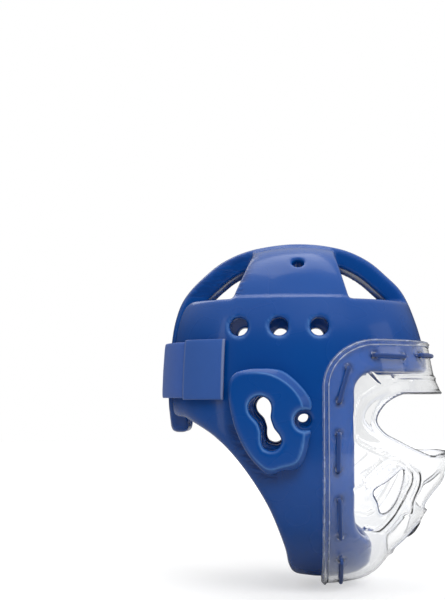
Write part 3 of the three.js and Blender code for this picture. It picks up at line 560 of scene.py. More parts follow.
points, quads = skin_of(ear_field(), EAR_ORIGIN, EAR_VOXEL)
# The guard's masks: wrinkles at its foot and a painted highlight on its rims.
masks = {"gather": 0.8 * crest(points[:, 1] - 104, 10) * (points[:, 2] < -140), "painted_highlight": guard_rim_highlights(points)}
guards = []
for side, word in ((-1, "right"), (1, "left")):
    mirrored = points * np.array([1, side, 1])
    guard = make_piece(f"ear_guard_{word}_skin", mirrored, quads if side > 0 else quads[:, ::-1], masks)
    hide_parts(f"ear_guard_{word}")
    guards.append(guard)

# %% [markdown]
# ## The clear shield
#
# The shield is one sheet of polycarbonate, 2.5 mm thick, pressed over a mould: it bulges over the nose and
# has a raised band, folds and a turned-out lip round each opening. It is made as a fine grid of angle and
# height on the shield form. One number at each point, the distance to the nearest edge, does three jobs: it
# says which triangles stay, where the others are cut, and how far the lip stands out.

# %% Shield outlines
LACE_HOLE_RADIUS = 3.1
CORNER = np.array([67, -116])
CORNER_REACH = np.array([46, 41])
FLANGE_BACK, SHIELD_BROW = CORNER + CORNER_REACH * np.array([-1, 1])
SHIELD_EDGE = np.vstack([
    [(FLANGE_BACK, BELOW), (FAR, BELOW), (FAR, SHIELD_BROW), (CORNER[0], SHIELD_BROW)],
    CORNER + CORNER_REACH * arc((0, 0), 1, 90, 180, 16)])
EYE_SHARES = np.array([(0.5, 0), (0.32, 0.015), (0.112, 0.168), (0, 0.416), (0.092, 0.62), (0.27, 0.753),
                       (0.60, 0.955), (0.72, 1), (0.90, 0.975)])
EYE_CURVE = smooth_curve(np.array([65.4, -120.7]) + EYE_SHARES * np.array([69.6, -54.3]), 6, False)
EYE_OPENING = np.vstack([[(FAR, -120.7)], EYE_CURVE, [(FAR, EYE_CURVE[-1, 1])]])
VENT_SHARES = np.array([(1, 0), (0.5, 0.24), (0, 0.48), (0.12, 0.74), (0.25, 1), (0.56, 0.91), (0.87, 0.52)])
SIDE_VENT = smooth_curve(np.array([62.5, -185]) + VENT_SHARES * np.array([26, -38]), 6)
NOSE_HALF = np.array([(0.35, 0.08), (0.75, 0.43), (1, 0.76), (0.85, 0.90)])
CHIN_HALF = np.array([(0.45, 0.33), (0.82, 0), (1, 0.19), (0.92, 0.66), (0.5, 0.90)])


def both_halves(half, middle_top, top, height, width):
    """Closed outline in the front view from its left half, mirrored, through a top and a bottom middle."""
    left = np.vstack([[(0, middle_top)], half, [(0, 1)]])
    whole = np.vstack([left, half[::-1] * np.array([-1, 1])])
    return smooth_curve(whole * np.array([width, -height]) + np.array([0, top]), 6)


NOSE_HOLE = both_halves(NOSE_HALF, 0, -194, 32, 39)
CHIN_VENT = both_halves(CHIN_HALF, 0.52, -234, 31, 43.5)
BAND_RIDGE = smooth_curve([(124, -107), (86.3, -108.5), (81.7, -110.2), (70.6, -114.4), (59.8, -121),
                           (49.9, -129.3), (47, -143), (47.6, -160), (57.1, -167.3), (77.8, -176.5),
                           (90.9, -180.4), (99.5, -186.1), (103.4, -191), (103, -200.5), (98, -214),
                           (97.4, -223)], 5, False)
LOWER_RIDGE = smooth_curve([(40, -205), (56, -196), (59, -191.9), (79.6, -176.5), (94, -186), (96.5, -195),
                            (92, -206), (83, -222), (74, -233), (67, -238), (58, -236)], 5, False)
TEMPLE_FOLD = [(60, -103), (72, -115.5)]


def edge_distance(p):
    """Distance to the nearest edge of the shield as seen along the cut, above zero in the sheet."""
    x, y, z = p[..., 0], p[..., 1], p[..., 2]
    keep = -outline_distance(SHIELD_EDGE, x, z)
    keep = np.minimum(keep, outline_distance(EYE_OPENING, x, z))
    keep = np.minimum(keep, outline_distance(SIDE_VENT, x, z))
    keep = np.minimum(keep, hole_distance(p, SHIELD) - LACE_HOLE_RADIUS)
    keep = np.minimum(keep, np.maximum(outline_distance(NOSE_HOLE, y, z), 65.4 - x))
    return np.minimum(keep, np.maximum(outline_distance(CHIN_VENT, y, z), 66.5 - x))


print("eye opening:", np.round(EYE_CURVE.min(0), 1), "to", np.round(EYE_CURVE.max(0), 1))

# %% [markdown]
# A grid has square cells and the openings are round, so the cells that an edge crosses have to be cut. A
# triangle with one corner in the sheet keeps a smaller triangle. One with two corners in it keeps a
# four-sided piece, which is split in two.

# %% Cutting a sheet


def sides_of(triangles):
    """The three sides of every triangle, each from one corner to the next."""
    return np.concatenate([triangles[:, [0, 1]], triangles[:, [1, 2]], triangles[:, [2, 0]]])


def sheet_triangles(points, edge, rows, columns):
    """Triangles of a grid, cut where edge is zero. Every side that crosses zero gets one new point, at the
    share of its length where a straight line between its two edge values is zero."""
    i, j = np.meshgrid(np.arange(rows - 1), np.arange(columns - 1), indexing="ij")
    a, b = i * columns + j, (i + 1) * columns + j
    tri = np.concatenate([np.stack(corners, -1).reshape(-1, 3)
                          for corners in ((a, b, b + 1), (a, b + 1, a + 1))])
    inside = edge[tri] > 0
    sides = np.sort(sides_of(tri), 1)
    sides = sides[(edge[sides] > 0).sum(1) == 1]
    codes = np.unique(sides[:, 0] * len(points) + sides[:, 1])

    def cut_points(p, q):
        """Index of the new point on each side from p to q, the same for both triangles of a side."""
        return len(points) + np.searchsorted(codes, np.minimum(p, q) * len(points) + np.maximum(p, q))

    parts = [tri[inside.all(1)]]
    for turn in range(3):
        corners = np.roll(tri, -turn, 1)
        within = np.roll(inside, -turn, 1).T
        a, b, c = corners[within[0] & ~within[1] & ~within[2]].T
        parts.append(np.stack([a, cut_points(a, b), cut_points(a, c)], -1))
        a, b, c = corners[within[0] & within[1] & ~within[2]].T
        parts.append(np.stack([a, b, cut_points(b, c)], -1))
        parts.append(np.stack([a, cut_points(b, c), cut_points(c, a)], -1))
    low, high = np.divmod(codes, len(points))
    share = (edge[low] / (edge[low] - edge[high]))[:, None]
    new = points[low] * (1 - share) + points[high] * share
    return np.vstack([points, new]), np.concatenate([edge, np.zeros(len(new))]), np.concatenate(parts)


# %% [markdown]
# Both faces of the sheet are the cut grid pushed along the outward direction. The lip is a bump of the edge
# distance 2 mm wide, the outer edge has a bead just inside it, and each ridge is a bump of the distance to
# its line in the side view. A rounded rim of three rows closes the sheet along its edges.

# %% Shield mesh
SHIELD_COLUMNS = 391
SHIELD_HEIGHTS = 197
SHIELD_TOP = -70
SHIELD_REACH = 128
OUTER_FACE = -0.2
INNER_FACE = -2.4
LIP_HEIGHT = 1.4
BEAD_HEIGHT = 1.9
RIDGE_HEIGHT = 1.3


def shield_grid():
    """Grid of angles and heights on the shield form, cut along the edges. Returns points, their distance to
    the nearest edge, and triangles."""
    height = SHIELD["top"] - SHIELD["bottom"]
    first = turn_of((SHIELD["top"] - SHIELD_TOP) / height)
    turns = np.linspace(first, turn_of(0.99985), SHIELD_HEIGHTS)[:, None]
    angles = np.radians(np.linspace(-SHIELD_REACH, SHIELD_REACH, SHIELD_COLUMNS))[None, :]
    grid = form_point(SHIELD, angles, SHIELD["top"] - height * (1 - np.cos(turns)) / 2)
    points, edge, tris = sheet_triangles(grid.reshape(-1, 3), edge_distance(grid).ravel(), *grid.shape[:2])
    used, tris = np.unique(tris, return_inverse=True)
    return points[used], edge[used], tris.reshape(-1, 3)


def shield_relief(points, edge):
    """How far each point stands out, and how much of a rim it is. The outer edge has the bead, the openings
    have the lip, the lace holes have neither."""
    x, z = points[:, 0], points[:, 2]
    border = outline_distance(SHIELD_EDGE, x, z)
    off_holes = hole_distance(points, SHIELD) > 6
    lip = crest(edge, 2.0)
    bead = crest(border + 2.3, 1.4)
    band = crest(outline_distance(BAND_RIDGE, x, z, False), 1.4)
    lower = crest(outline_distance(LOWER_RIDGE, x, z, False), 1.4)
    fold = 0.5 * crest(outline_distance(TEMPLE_FOLD, x, z, False), 1.2)
    turned = np.where(border > -6, BEAD_HEIGHT * bead, LIP_HEIGHT * lip * off_holes)
    lift = turned + RIDGE_HEIGHT * np.maximum.reduce([band, lower, fold]) * (x > 45)
    return lift, np.maximum(lip, 0.5 * bead) * np.where(off_holes, 1, 0.2)


def free_sides(triangles):
    """The sides that only one triangle has, in the direction of that triangle."""
    sides = sides_of(triangles)
    low, high = np.sort(sides, 1).T
    _, first, count = np.unique(low * (high.max() + 1) + high, return_index=True, return_counts=True)
    return sides[first[count == 1]]


def shield_mesh():
    """Outer face, inner face and, between them along the free sides, a middle row that stands 0.8 mm out.
    Returns points, faces and the rim mask."""
    points, edge, tris = shield_grid()
    n = len(points)
    normal = form_normal(SHIELD, points)
    lift, rim = shield_relief(points, edge)
    outer = points + normal * (lift + OUTER_FACE)[:, None]
    inner = points + normal * (lift + INNER_FACE)[:, None]
    a, b = free_sides(tris).T
    push = np.cross(points[b] - points[a], normal[a])
    out = np.zeros_like(points)
    np.add.at(out, a, push)
    np.add.at(out, b, push)
    out /= np.maximum(np.linalg.norm(out, axis=1, keepdims=True), 1e-9)
    on_edge = np.unique([a, b])
    middle_at = np.zeros(n, int)
    middle_at[on_edge] = 2 * n + np.arange(len(on_edge))
    middle = (0.5 * (outer + inner) + 0.8 * out)[on_edge]
    faces = tris.tolist() + (tris[:, ::-1] + n).tolist()
    faces += np.stack([b, a, middle_at[a], middle_at[b]], -1).tolist()
    faces += np.stack([middle_at[b], middle_at[a], a + n, b + n], -1).tolist()
    return np.vstack([outer, inner, middle]), faces, np.concatenate([rim, rim, rim[on_edge]])


points, faces, rims = shield_mesh()
shield = make_piece("face_shield_sheet", points, faces, {"rim": rims})
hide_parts("face_shield")
shield.visible_shadow = False

# %% [markdown]
# ## A round section along a path
#
# The bead's borders and the cord are both a circle carried along a path. The circle must not spin on its
# way, so each frame is the last one, turned by the least that keeps it square to the path.

# %% Tube


def tube(path, radius, sides):
    """Points of each circle: path plus radius times cosine across it and sine across both. Returns points,
    faces and (length along, length round) in millimetres."""
    way = np.gradient(path, axis=0)
    way /= np.linalg.norm(way, axis=1, keepdims=True)
    across = np.zeros_like(path)
    across[0] = np.cross(way[0], (0.3, 0.2, 0.9))
    for i in range(1, len(path)):
        across[i] = across[i - 1] - way[i] * (across[i - 1] @ way[i])
        across[i] /= np.linalg.norm(across[i])
    across[0] /= np.linalg.norm(across[0])
    other = np.cross(way, across)
    a = 2 * np.pi * np.arange(sides) / sides
    ring = np.cos(a)[None, :, None] * across[:, None, :] + np.sin(a)[None, :, None] * other[:, None, :]
    points = (path[:, None, :] + radius * ring).reshape(-1, 3)
    faces = ring_quads(len(path), sides)[:, [0, 3, 2, 1]]
    along = np.concatenate([[0], np.cumsum(np.linalg.norm(np.diff(path, axis=0), axis=1))])
    uv = np.stack(np.broadcast_arrays(along[:, None], radius * np.abs(a - np.pi)[None, :]), -1).reshape(-1, 2)
    return points, faces, uv


# %% [markdown]
# ## The bead's borders
#
# The bead along the shield's outer edge has two sharp borders that catch the light. They are finer than the
# cells of the sheet, so each is a thin round line of its own, half sunk in the surface, and its colour is a
# painted highlight.

# %% Bead lines
BORDER_INSETS = (0.5, 4.4)
BORDER_RADIUS = 0.5


def edge_line(inset):
    """The bead's border: from the jaw up the right side, round the corner, across the brow and down again."""
    rise = np.linspace(-284, CORNER[1], 60)
    bend = CORNER + (CORNER_REACH - inset) * arc((0, 0), 1, 180, 90, 24)[1:]
    x = np.concatenate([np.full(60, FLANGE_BACK + inset), bend[:, 0]])
    z = np.concatenate([rise, bend[:, 1]])
    centre, ahead, _, _, power = section_at(SHIELD, z[-1])
    last = np.arccos(((CORNER[0] - centre) / ahead) ** (power / 2))
    brow = form_point(SHIELD, np.linspace(-last, last, 70)[1:-1], z[-1])
    path = np.vstack([side_point(SHIELD, x, z, -1), brow, side_point(SHIELD, x, z, 1)[::-1]])
    return path + form_normal(SHIELD, path) * 0.25


lines = [tube(edge_line(inset), BORDER_RADIUS, 8) for inset in BORDER_INSETS]
bead = make_piece("face_shield_bead_lines", np.vstack([line[0] for line in lines]),
                  np.vstack([lines[0][1], lines[1][1] + len(lines[0][0])]))

# %% [markdown]
# ## The lacing
#
# One braided cord runs in and out of eleven holes on each side. Over the shield it lies flat along the
# sheet, at each hole it turns straight in, and inside the foam it crosses to the next hole. The route is
# the one in the CAD model, run through a smooth curve.

# %% Lacing
CORD_RADIUS = 1.75
CORD_LIFT = 1.6
UNDER_SKIN = 3.3
PAST_WALL = 2.2
RUN_SHARES = np.array([0.12, 0.3, 0.5, 0.7, 0.88])[:, None]
BROW_SHARES = np.array([-0.85, -0.6, -0.3, 0, 0.3, 0.6, 0.85])


def hole_points(place, normal):
    """The cord's turns at one hole: above the sheet, below it, inside the foam and inside the head space."""
    t = np.linspace(0, 60, 241)
    probe = place - t[:, None] * normal
    depth = t[np.argmax(form_value(HOLLOW, *probe.T) < 0)]
    return [place + normal * CORD_LIFT * 0.8, place - normal * UNDER_SKIN,
            place - normal * (depth - UNDER_SKIN), place - normal * (depth + PAST_WALL)]


def lace_side(side):
    """The cord's turns on one side from the brow down: in at one hole, out at the next, then over the sheet
    in a straight line as seen from the side."""
    route = []
    for i, hole in enumerate(LACE_HOLES):
        place = side_point(SHIELD, *hole, side)
        turns = hole_points(place, form_normal(SHIELD, place))
        route += turns if i % 2 == 0 else turns[::-1]
        if i % 2 == 1 and i + 1 < len(LACE_HOLES):
            x, z = (hole + (LACE_HOLES[i + 1] - hole) * RUN_SHARES).T
            run = side_point(SHIELD, x, z, side)
            route += list(run + form_normal(SHIELD, run) * CORD_LIFT)
    return route


def lace_route():
    """Right half from the jaw up, across the forehead, and down the left half."""
    x, z = LACE_HOLES[0]
    y = side_point(SHIELD, x, z, 1)[1] * BROW_SHARES
    centre, ahead, _, half, power = section_at(SHIELD, z)
    reach = ahead * (1 - (np.abs(y) / half) ** power) ** (1 / power)
    front = np.stack([centre + reach, y, np.full(len(y), z)], -1)
    front = front + form_normal(SHIELD, front) * CORD_LIFT
    return np.array(lace_side(-1)[::-1] + list(front) + lace_side(1))


path = smooth_curve(lace_route(), 6, False)
points, faces, uv = tube(path, CORD_RADIUS, 12)
lacing = make_piece("lacing_cord", points, faces, uv=uv)
print(f"lacing: {uv[:, 0].max():.0f} mm of cord")
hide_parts("lacing")

# %% [markdown]
# ## Strap, end layers and tag
#
# The strap is a woven elastic band 49 mm wide. It is stretched round the back, so it follows the shell's
# form a little way off it. Its ends are covered by a second layer of smoother tape, sewn down along the
# edge, and a blank satin tag hangs on the left. Each is a flat section with round edges, swept round the
# shell.

# %% Bands
STRAP_MIDDLE = -100.0
STAND_OFF = 3.0
# Width of the painted highlight at each end of a band.
END_HIGHLIGHT_WIDTH = 1.2


def angle_at(x, distance):
    """The angle, on the right side as a positive number, where the shell's side is at x."""
    angle = np.linspace(0, np.pi, 2001)
    return np.interp(-x, -form_point(grown(SHELL, distance), angle, STRAP_MIDDLE)[:, 0], angle)


def angle_of_side(y, distance):
    """The angle behind the left ear where the shell's back is at y."""
    angle = np.linspace(np.pi / 2, np.pi, 2001)
    return np.interp(-y, -form_point(grown(SHELL, distance), angle, STRAP_MIDDLE)[:, 1], angle)


LEFT_END = angle_at(-82, 2)
RIGHT_END = 2 * np.pi - angle_at(-64.5, 2)


def stand_off(angle):
    """The stretched strap leaves the shell between its ends, by the squared sine of the way along."""
    share = np.clip((angle - LEFT_END) / (RIGHT_END - LEFT_END), 0, 1)
    return STAND_OFF * np.sin(np.pi * share) ** 2


def band(distance, wall, start, end, low, high, columns):
    """Rounded strip round the shell: the section is a flat superellipse in height and distance, and the path
    is an angle range of the shell form grown by that distance."""
    a = 2 * np.pi * np.arange(40) / 40
    height = (low + high) / 2 + (high - low) / 2 * signed_power(np.cos(a), 0.16)
    angle = np.linspace(start, end, columns)[:, None]
    depth = distance + wall / 2 + wall / 2 * signed_power(np.sin(a), 0.55) + stand_off(angle)
    points = form_point(grown(SHELL, depth), angle, height[None, :])
    middle = points.mean(1)
    along = np.concatenate([[0], np.cumsum(np.linalg.norm(np.diff(middle, axis=0), axis=1))])
    uv = np.stack(np.broadcast_arrays(along[:, None], (height - low)[None, :]), -1)
    n = len(a)
    faces = ring_quads(columns, n).tolist()
    half = np.arange(1, n // 2 - 1)
    for base, flip in ((0, 1), ((columns - 1) * n, -1)):
        cap = np.stack([base + half, base + half + 1, base + n - half - 1, base + n - half], -1)
        faces += cap[:, ::flip].tolist()
        ends = base + np.array([[0, 1, n - 1], [n // 2 - 1, n // 2, n // 2 + 1]])
        faces += ends[:, ::flip].tolist()
    return points.reshape(-1, 3), faces, uv.reshape(-1, 2)


def band_piece(name, node, slot, *sizes):
    """A band as a piece that replaces its CAD node, with a mask of painted highlight at its ends."""
    points, faces, uv = band(*sizes)
    along = uv[:, 0]
    # Painted highlight along the band's ends: full at the far end, 0.3 at the start.
    end_highlight = np.where(along > along.max() - END_HIGHLIGHT_WIDTH, 1.0, 0.3 * (along < END_HIGHLIGHT_WIDTH))
    piece = make_piece(name, points, faces, {"end_highlight": end_highlight}, uv)
    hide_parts(node)
    return piece


# %% Strap, end layers and tag
strap = band_piece("rear_strap_band", "rear_strap", "elastic",
                   0.7, 2.0, LEFT_END, RIGHT_END, -125, -76, 160)
patch_right = band_piece("strap_patch_right_tape", "strap_patch_right", "patch", 3.05, 1.6,
                         2 * np.pi - angle_at(-99, 4), 2 * np.pi - angle_at(-64, 4), -126.5, -74.5, 40)
patch_left = band_piece("strap_patch_left_tape", "strap_patch_left", "patch", 3.05, 1.6,
                        angle_at(-82, 4), angle_at(-103.7, 4), -126.5, -74.5, 30)
label = band_piece("care_label_satin", "care_label", "tag", 3.05, 0.8,
                   angle_of_side(54, 3.4), angle_of_side(39, 3.4), -114.8, -86.8, 24)

# %% [markdown]
# The left end layer is sewn down with thick thread, so its row of stitches is geometry. The strap is one
# stretched sheet that rests on the shell, and the layers, the tag and the stitches go with it.

# %% Stitches
STITCH_LENGTH = 2.6
THREAD_RADIUS = 0.38


def stitches(name, angle, distance, heights):
    """A row of thread stitches up the shell: each is a long ellipsoid whose axis is upright."""
    t = np.linspace(0, np.pi, 9)[None, :, None]
    a = (2 * np.pi * np.arange(8) / 8)[None, None, :]
    places = form_point(grown(SHELL, distance + stand_off(angle)), angle, heights)
    normal = form_normal(SHELL, places)[:, None, None, :]
    across = np.cross(normal, (0.0, 0.0, 1.0))
    ring = np.cos(a)[..., None] * across + np.sin(a)[..., None] * normal
    points = (places[:, None, None, :] + THREAD_RADIUS * np.sin(t)[..., None] * ring
              + STITCH_LENGTH / 2 * np.cos(t)[..., None] * np.array([0, 0, 1.0]))
    first = (np.arange(len(heights)) * 9 * 8)[:, None, None]
    return make_piece(name, points.reshape(-1, 3), (first + ring_quads(9, 8)[None]).reshape(-1, 4))


stitch_row = stitches("patch_left_stitches", angle_at(-101.0, 4.7), 4.75, np.linspace(-124, -77, 14))

# %% [markdown]
# ## Finishes
#
# Every finish is procedural. Effects that more than one finish uses are node groups that give only values
# or normals.

# %% Node helpers


def group(name, inputs, outputs):
    """A shader node group with float, vector or colour sockets and its two end nodes."""
    tree = bpy.data.node_groups.new(name, "ShaderNodeTree")
    for label, kind, value in inputs:
        socket = tree.interface.new_socket(label, in_out="INPUT", socket_type=kind)
        if value is not None:
            socket.default_value = value
    for label, kind in outputs:
        tree.interface.new_socket(label, in_out="OUTPUT", socket_type=kind)
    return tree, tree.nodes.new("NodeGroupInput"), tree.nodes.new("NodeGroupOutput")


def add(tree, kind, **settings):
    """A node with its settings, and its input values where the key names a socket."""
    node = tree.nodes.new(kind)
    for key, value in settings.items():
        if key in node.inputs:
            node.inputs[key].default_value = value
        else:
            setattr(node, key, value)
    return node


def math_node(tree, operation, first, second=None, third=None):
    """One maths step. An input is a socket or a number."""
    node = tree.nodes.new("ShaderNodeMath")
    node.operation = operation
    for place, value in enumerate((first, second, third)):
        if value is None:
            continue
        if isinstance(value, (int, float)):
            node.inputs[place].default_value = value
        else:
            tree.links.new(value, node.inputs[place])
    return node.outputs[0]


def mix_colour(tree, share, a, b):
    """The colour between a and b at a share from 0 to 1. Each input is a socket or a plain value."""
    node = tree.nodes.new("ShaderNodeMix")
    node.data_type = "RGBA"
    for place, value in ((0, share), (6, a), (7, b)):
        if isinstance(value, (int, float, tuple)):
            node.inputs[place].default_value = value
        else:
            tree.links.new(value, node.inputs[place])
    return node.outputs[2]


def noise(tree, place, **settings):
    """The value of a noise texture that reads the given place."""
    node = add(tree, "ShaderNodeTexNoise", **settings)
    tree.links.new(place, node.inputs["Vector"])
    return node.outputs[0]


def mask(tree, name):
    """The value that a piece's mesh carries under this name."""
    return add(tree, "ShaderNodeAttribute", attribute_name=name).outputs["Fac"]


def bump(tree, shader, height, strength, distance):
    """Tilts the shader's normal as a surface of this height would."""
    node = add(tree, "ShaderNodeBump", Strength=strength, Distance=distance)
    tree.links.new(height, node.inputs["Height"])
    tree.links.new(node.outputs[0], shader.inputs["Normal"])


def material(name, **values):
    """A new material with its Principled node, plain values set on it, and Object coordinates."""
    made = bpy.data.materials.new(name)
    made.use_nodes = True
    tree = made.node_tree
    shader = tree.nodes["Principled BSDF"]
    for key, value in values.items():
        shader.inputs[key.replace("_", " ")].default_value = value
    return made, tree, shader, tree.nodes.new("ShaderNodeTexCoord").outputs["Object"]


# %% [markdown]
# The vinyl dip is deep blue and glossy. Its skin is not perfectly even: it swells gently, has a very fine
# grain and gathers in short wrinkles where the mask says so. Painted shade darkens the creases and the
# foam round each lace hole, and a painted highlight lies on the crests of the rims.

# %% Dipped foam
DIP_DEEP = (0.0, 0.049, 0.250, 1)
DIP_BRIGHT = (0.0, 0.067, 0.308, 1)
# Painted highlight for the crests of the rims.
DIP_PAINTED_HIGHLIGHT = (0.12, 0.30, 0.64, 1)
# Painted shade round the lace holes.
DIP_HOLE_SHADE = (0.0, 0.006, 0.035, 1)
# Painted shade in the creases.
DIP_CREASE_SHADE = (0.0, 0.012, 0.09, 1)


def foam_material():
    """Blue that a soft noise moves between two tones, with the masks mixed over it as painted highlight and
    painted shade. A crease is where a noise that is long across the shell is near its middle value."""
    made, tree, shader, place = material("vinyl_dip", Roughness=0.3, IOR=1.33,
                                         Coat_Weight=0.35, Coat_Roughness=0.1)
    stretch = add(tree, "ShaderNodeVectorMath", operation="MULTIPLY")
    stretch.inputs[1].default_value = (0.3, 0.3, 1.0)
    tree.links.new(place, stretch.inputs[0])
    tone = noise(tree, place, Scale=9.0, Detail=2.0)
    grain = noise(tree, place, Scale=900.0, Detail=2.0)
    swell = noise(tree, place, Scale=26.0, Detail=1.0)
    folds = noise(tree, stretch.outputs[0], Scale=190.0, Detail=2.0, Distortion=0.6)
    crease = math_node(tree, "ABSOLUTE", math_node(tree, "SUBTRACT", folds, 0.5))
    crease = math_node(tree, "SUBTRACT", 1.0, math_node(tree, "MULTIPLY", crease, 6.0))
    crease = math_node(tree, "MULTIPLY", math_node(tree, "MAXIMUM", crease, 0.0), mask(tree, "gather"))
    hole_shade = math_node(tree, "MINIMUM", math_node(tree, "MULTIPLY", mask(tree, "dimple_and_shade"), 1.5), 0.95)
    blue = mix_colour(tree, tone, DIP_DEEP, DIP_BRIGHT)
    # Painted highlight on the crests of the rims.
    blue = mix_colour(tree, math_node(tree, "MULTIPLY", mask(tree, "painted_highlight"), 0.5), blue, DIP_PAINTED_HIGHLIGHT)
    # Painted shade round each lace hole.
    blue = mix_colour(tree, hole_shade, blue, DIP_HOLE_SHADE)
    # Painted shade in the creases of the wrinkles.
    blue = mix_colour(tree, math_node(tree, "MULTIPLY", crease, 0.6), blue, DIP_CREASE_SHADE)
    tree.links.new(blue, shader.inputs["Base Color"])
    rough = math_node(tree, "ADD", 0.2, math_node(tree, "MULTIPLY", swell, 0.14))
    tree.links.new(rough, shader.inputs["Roughness"])
    height = math_node(tree, "ADD", math_node(tree, "MULTIPLY", grain, 0.012), swell)
    height = math_node(tree, "SUBTRACT", height, math_node(tree, "MULTIPLY", crease, 0.8))
    bump(tree, shader, height, 0.35, 0.0012)
    return made


dip = foam_material()
for piece in [foam_shell] + guards:
    piece.data.materials.append(dip)
print("dipped:", foam_shell.name, [guard.name for guard in guards])

# %% [markdown]
# The shield is real clear sheet: it bends the light a little and mirrors the studio, and that reflection is
# what greys the foam behind it. Its cut rims are less polished, and their darker tint is painted shade for
# the dark lines they show. The bead's borders carry a painted highlight along their whole length.

# %% Clear sheet


def shield_material():
    """Clear sheet with a faint smear in roughness and bump. The rim is less polished, and its darker tint is
    painted shade.
    """
    made, tree, shader, place = material("clear_sheet", Roughness=0.04, IOR=1.45, Transmission_Weight=1.0)
    rim = mask(tree, "rim")
    # The darker tint on the rim is painted shade.
    tint = mix_colour(tree, rim, (0.925, 0.93, 0.935, 1), (0.84, 0.855, 0.90, 1))
    tree.links.new(tint, shader.inputs["Base Color"])
    smear = noise(tree, place, Scale=38.0, Detail=3.0)
    haze = math_node(tree, "MULTIPLY", math_node(tree, "POWER", smear, 3.0), 0.2)
    rough = math_node(tree, "ADD", haze, math_node(tree, "MULTIPLY", rim, 0.18))
    tree.links.new(rough, shader.inputs["Roughness"])
    bump(tree, shader, smear, 0.03, 0.001)
    return made


def painted_bead_highlight():
    """Painted highlight on the bead's borders: less clear than the sheet, from bluish to white as a fine
    noise goes.
    """
    made, tree, shader, place = material("painted_bead_highlight", IOR=1.45, Transmission_Weight=0.45)
    highlight_noise = noise(tree, place, Scale=120.0, Detail=2.0)
    # The near-white colour is a painted highlight, and the noise moves it along the borders.
    tint = mix_colour(tree, highlight_noise, (0.20, 0.27, 0.48, 1), (0.85, 0.90, 1.0, 1))
    tree.links.new(tint, shader.inputs["Base Color"])
    rough = math_node(tree, "ADD", 0.1, math_node(tree, "MULTIPLY", highlight_noise, 0.3))
    tree.links.new(rough, shader.inputs["Roughness"])
    return made


shield.data.materials.append(shield_material())
bead.data.materials.append(painted_bead_highlight())
print("clear:", shield.name, bead.name)

# %% [markdown]
# Cord, elastic, tape, thread and tag are all woven, and differ in how coarse the weave is. So they share
# one group that makes the weave from the piece's own UV map, and each has its own two colours. Light gets
# less deep into the gaps between the threads, so the darker colour goes there.

# %% Weave


def weave_group():
    """Ribs along a woven band and the finer picks across them, from a UV map in metres: two sine waves whose
    product is high where threads cross. Gives height and a mask of the gaps."""
    tree, given, result = group(
        "woven_ribs",
        [("UV", "NodeSocketVector", None), ("Ribs", "NodeSocketFloat", 900.0),
         ("Picks", "NodeSocketFloat", 1500.0)],
        [("Height", "NodeSocketFloat"), ("Gaps", "NodeSocketFloat")])
    parts = tree.nodes.new("ShaderNodeSeparateXYZ")
    tree.links.new(given.outputs["UV"], parts.inputs[0])
    ribs, picks = (
        math_node(tree, "SINE", math_node(tree, "MULTIPLY", parts.outputs[axis],
                                          math_node(tree, "MULTIPLY", given.outputs[count], 6.283)))
        for count, axis in (("Ribs", 1), ("Picks", 0)))
    cross = math_node(tree, "MULTIPLY", math_node(tree, "MULTIPLY", ribs, picks), 0.4)
    height = math_node(tree, "ADD", math_node(tree, "MULTIPLY", ribs, 0.6), cross)
    tree.links.new(height, result.inputs["Height"])
    gaps = tree.nodes.new("ShaderNodeClamp")
    raw = math_node(tree, "MULTIPLY", math_node(tree, "SUBTRACT", 0.3, height), 0.7)
    tree.links.new(raw, gaps.inputs[0])
    tree.links.new(gaps.outputs[0], result.inputs["Gaps"])
    return tree


WEAVE = weave_group()


def cloth_material(name, base, dark, ribs, picks, rough, strength, sheen=0.1):
    """Woven cloth: colour falls to the dark one in the gaps and is paler at the band's ends, a painted
    highlight, and the weave's height drives the bump."""
    made, tree, shader, place = material(name, Roughness=rough, Sheen_Weight=sheen)
    flat = add(tree, "ShaderNodeUVMap", uv_map="metres")
    weave = add(tree, "ShaderNodeGroup", node_tree=WEAVE)
    weave.inputs["Ribs"].default_value = ribs
    weave.inputs["Picks"].default_value = picks
    tree.links.new(flat.outputs[0], weave.inputs["UV"])
    tone = math_node(tree, "MULTIPLY", noise(tree, place, Scale=55.0, Detail=4.0), 0.35)
    shade = mix_colour(tree, tone, base, dark)
    shade = mix_colour(tree, weave.outputs["Gaps"], shade, dark)
    # Painted highlight colour for the band's ends.
    painted_highlight = tuple(0.55 * value + 0.20 for value in base[:3]) + (1,)
    shade = mix_colour(tree, math_node(tree, "MULTIPLY", mask(tree, "end_highlight"), 0.8), shade, painted_highlight)
    tree.links.new(shade, shader.inputs["Base Color"])
    bump(tree, shader, weave.outputs["Height"], strength, 0.0003)
    return made


# %% Cloth finishes
lacing.data.materials.append(cloth_material(
    "braided_cord", (0.018, 0.07, 0.27, 1), (0.006, 0.03, 0.15, 1), 260.0, 420.0, 0.65, 0.8, 0.2))
strap.data.materials.append(cloth_material(
    "woven_elastic", (0.028, 0.115, 0.47, 1), (0.016, 0.082, 0.36, 1), 900.0, 1100.0, 0.45, 0.25))
patch_right.data.materials.append(cloth_material(
    "smooth_tape", (0.018, 0.100, 0.40, 1), (0.010, 0.072, 0.31, 1), 1100.0, 1100.0, 0.42, 0.2))
patch_left.data.materials.append(cloth_material(
    "bright_tape", (0.0, 0.075, 0.42, 1), (0.0, 0.05, 0.30, 1), 1100.0, 1100.0, 0.45, 0.2))
stitch_row.data.materials.append(cloth_material(
    "thread", (0.10, 0.17, 0.42, 1), (0.05, 0.10, 0.30, 1), 900.0, 900.0, 0.5, 0.2))
label.data.materials.append(cloth_material(
    "blank_satin", (0.86, 0.86, 0.85, 1), (0.7, 0.7, 0.7, 1), 1400.0, 2200.0, 0.45, 0.25, 0.1))
print("finishes:", sorted(finish.name for finish in bpy.data.materials))

# %% [markdown]
# ## Studio
#
# A plain white floor, a surround that is white to the camera but dim near the horizon in reflections, so
# that the gloss shows depth, and five soft lights. The headgear stands on its jaw.

# %% Floor and surround
FLOOR = -0.2943


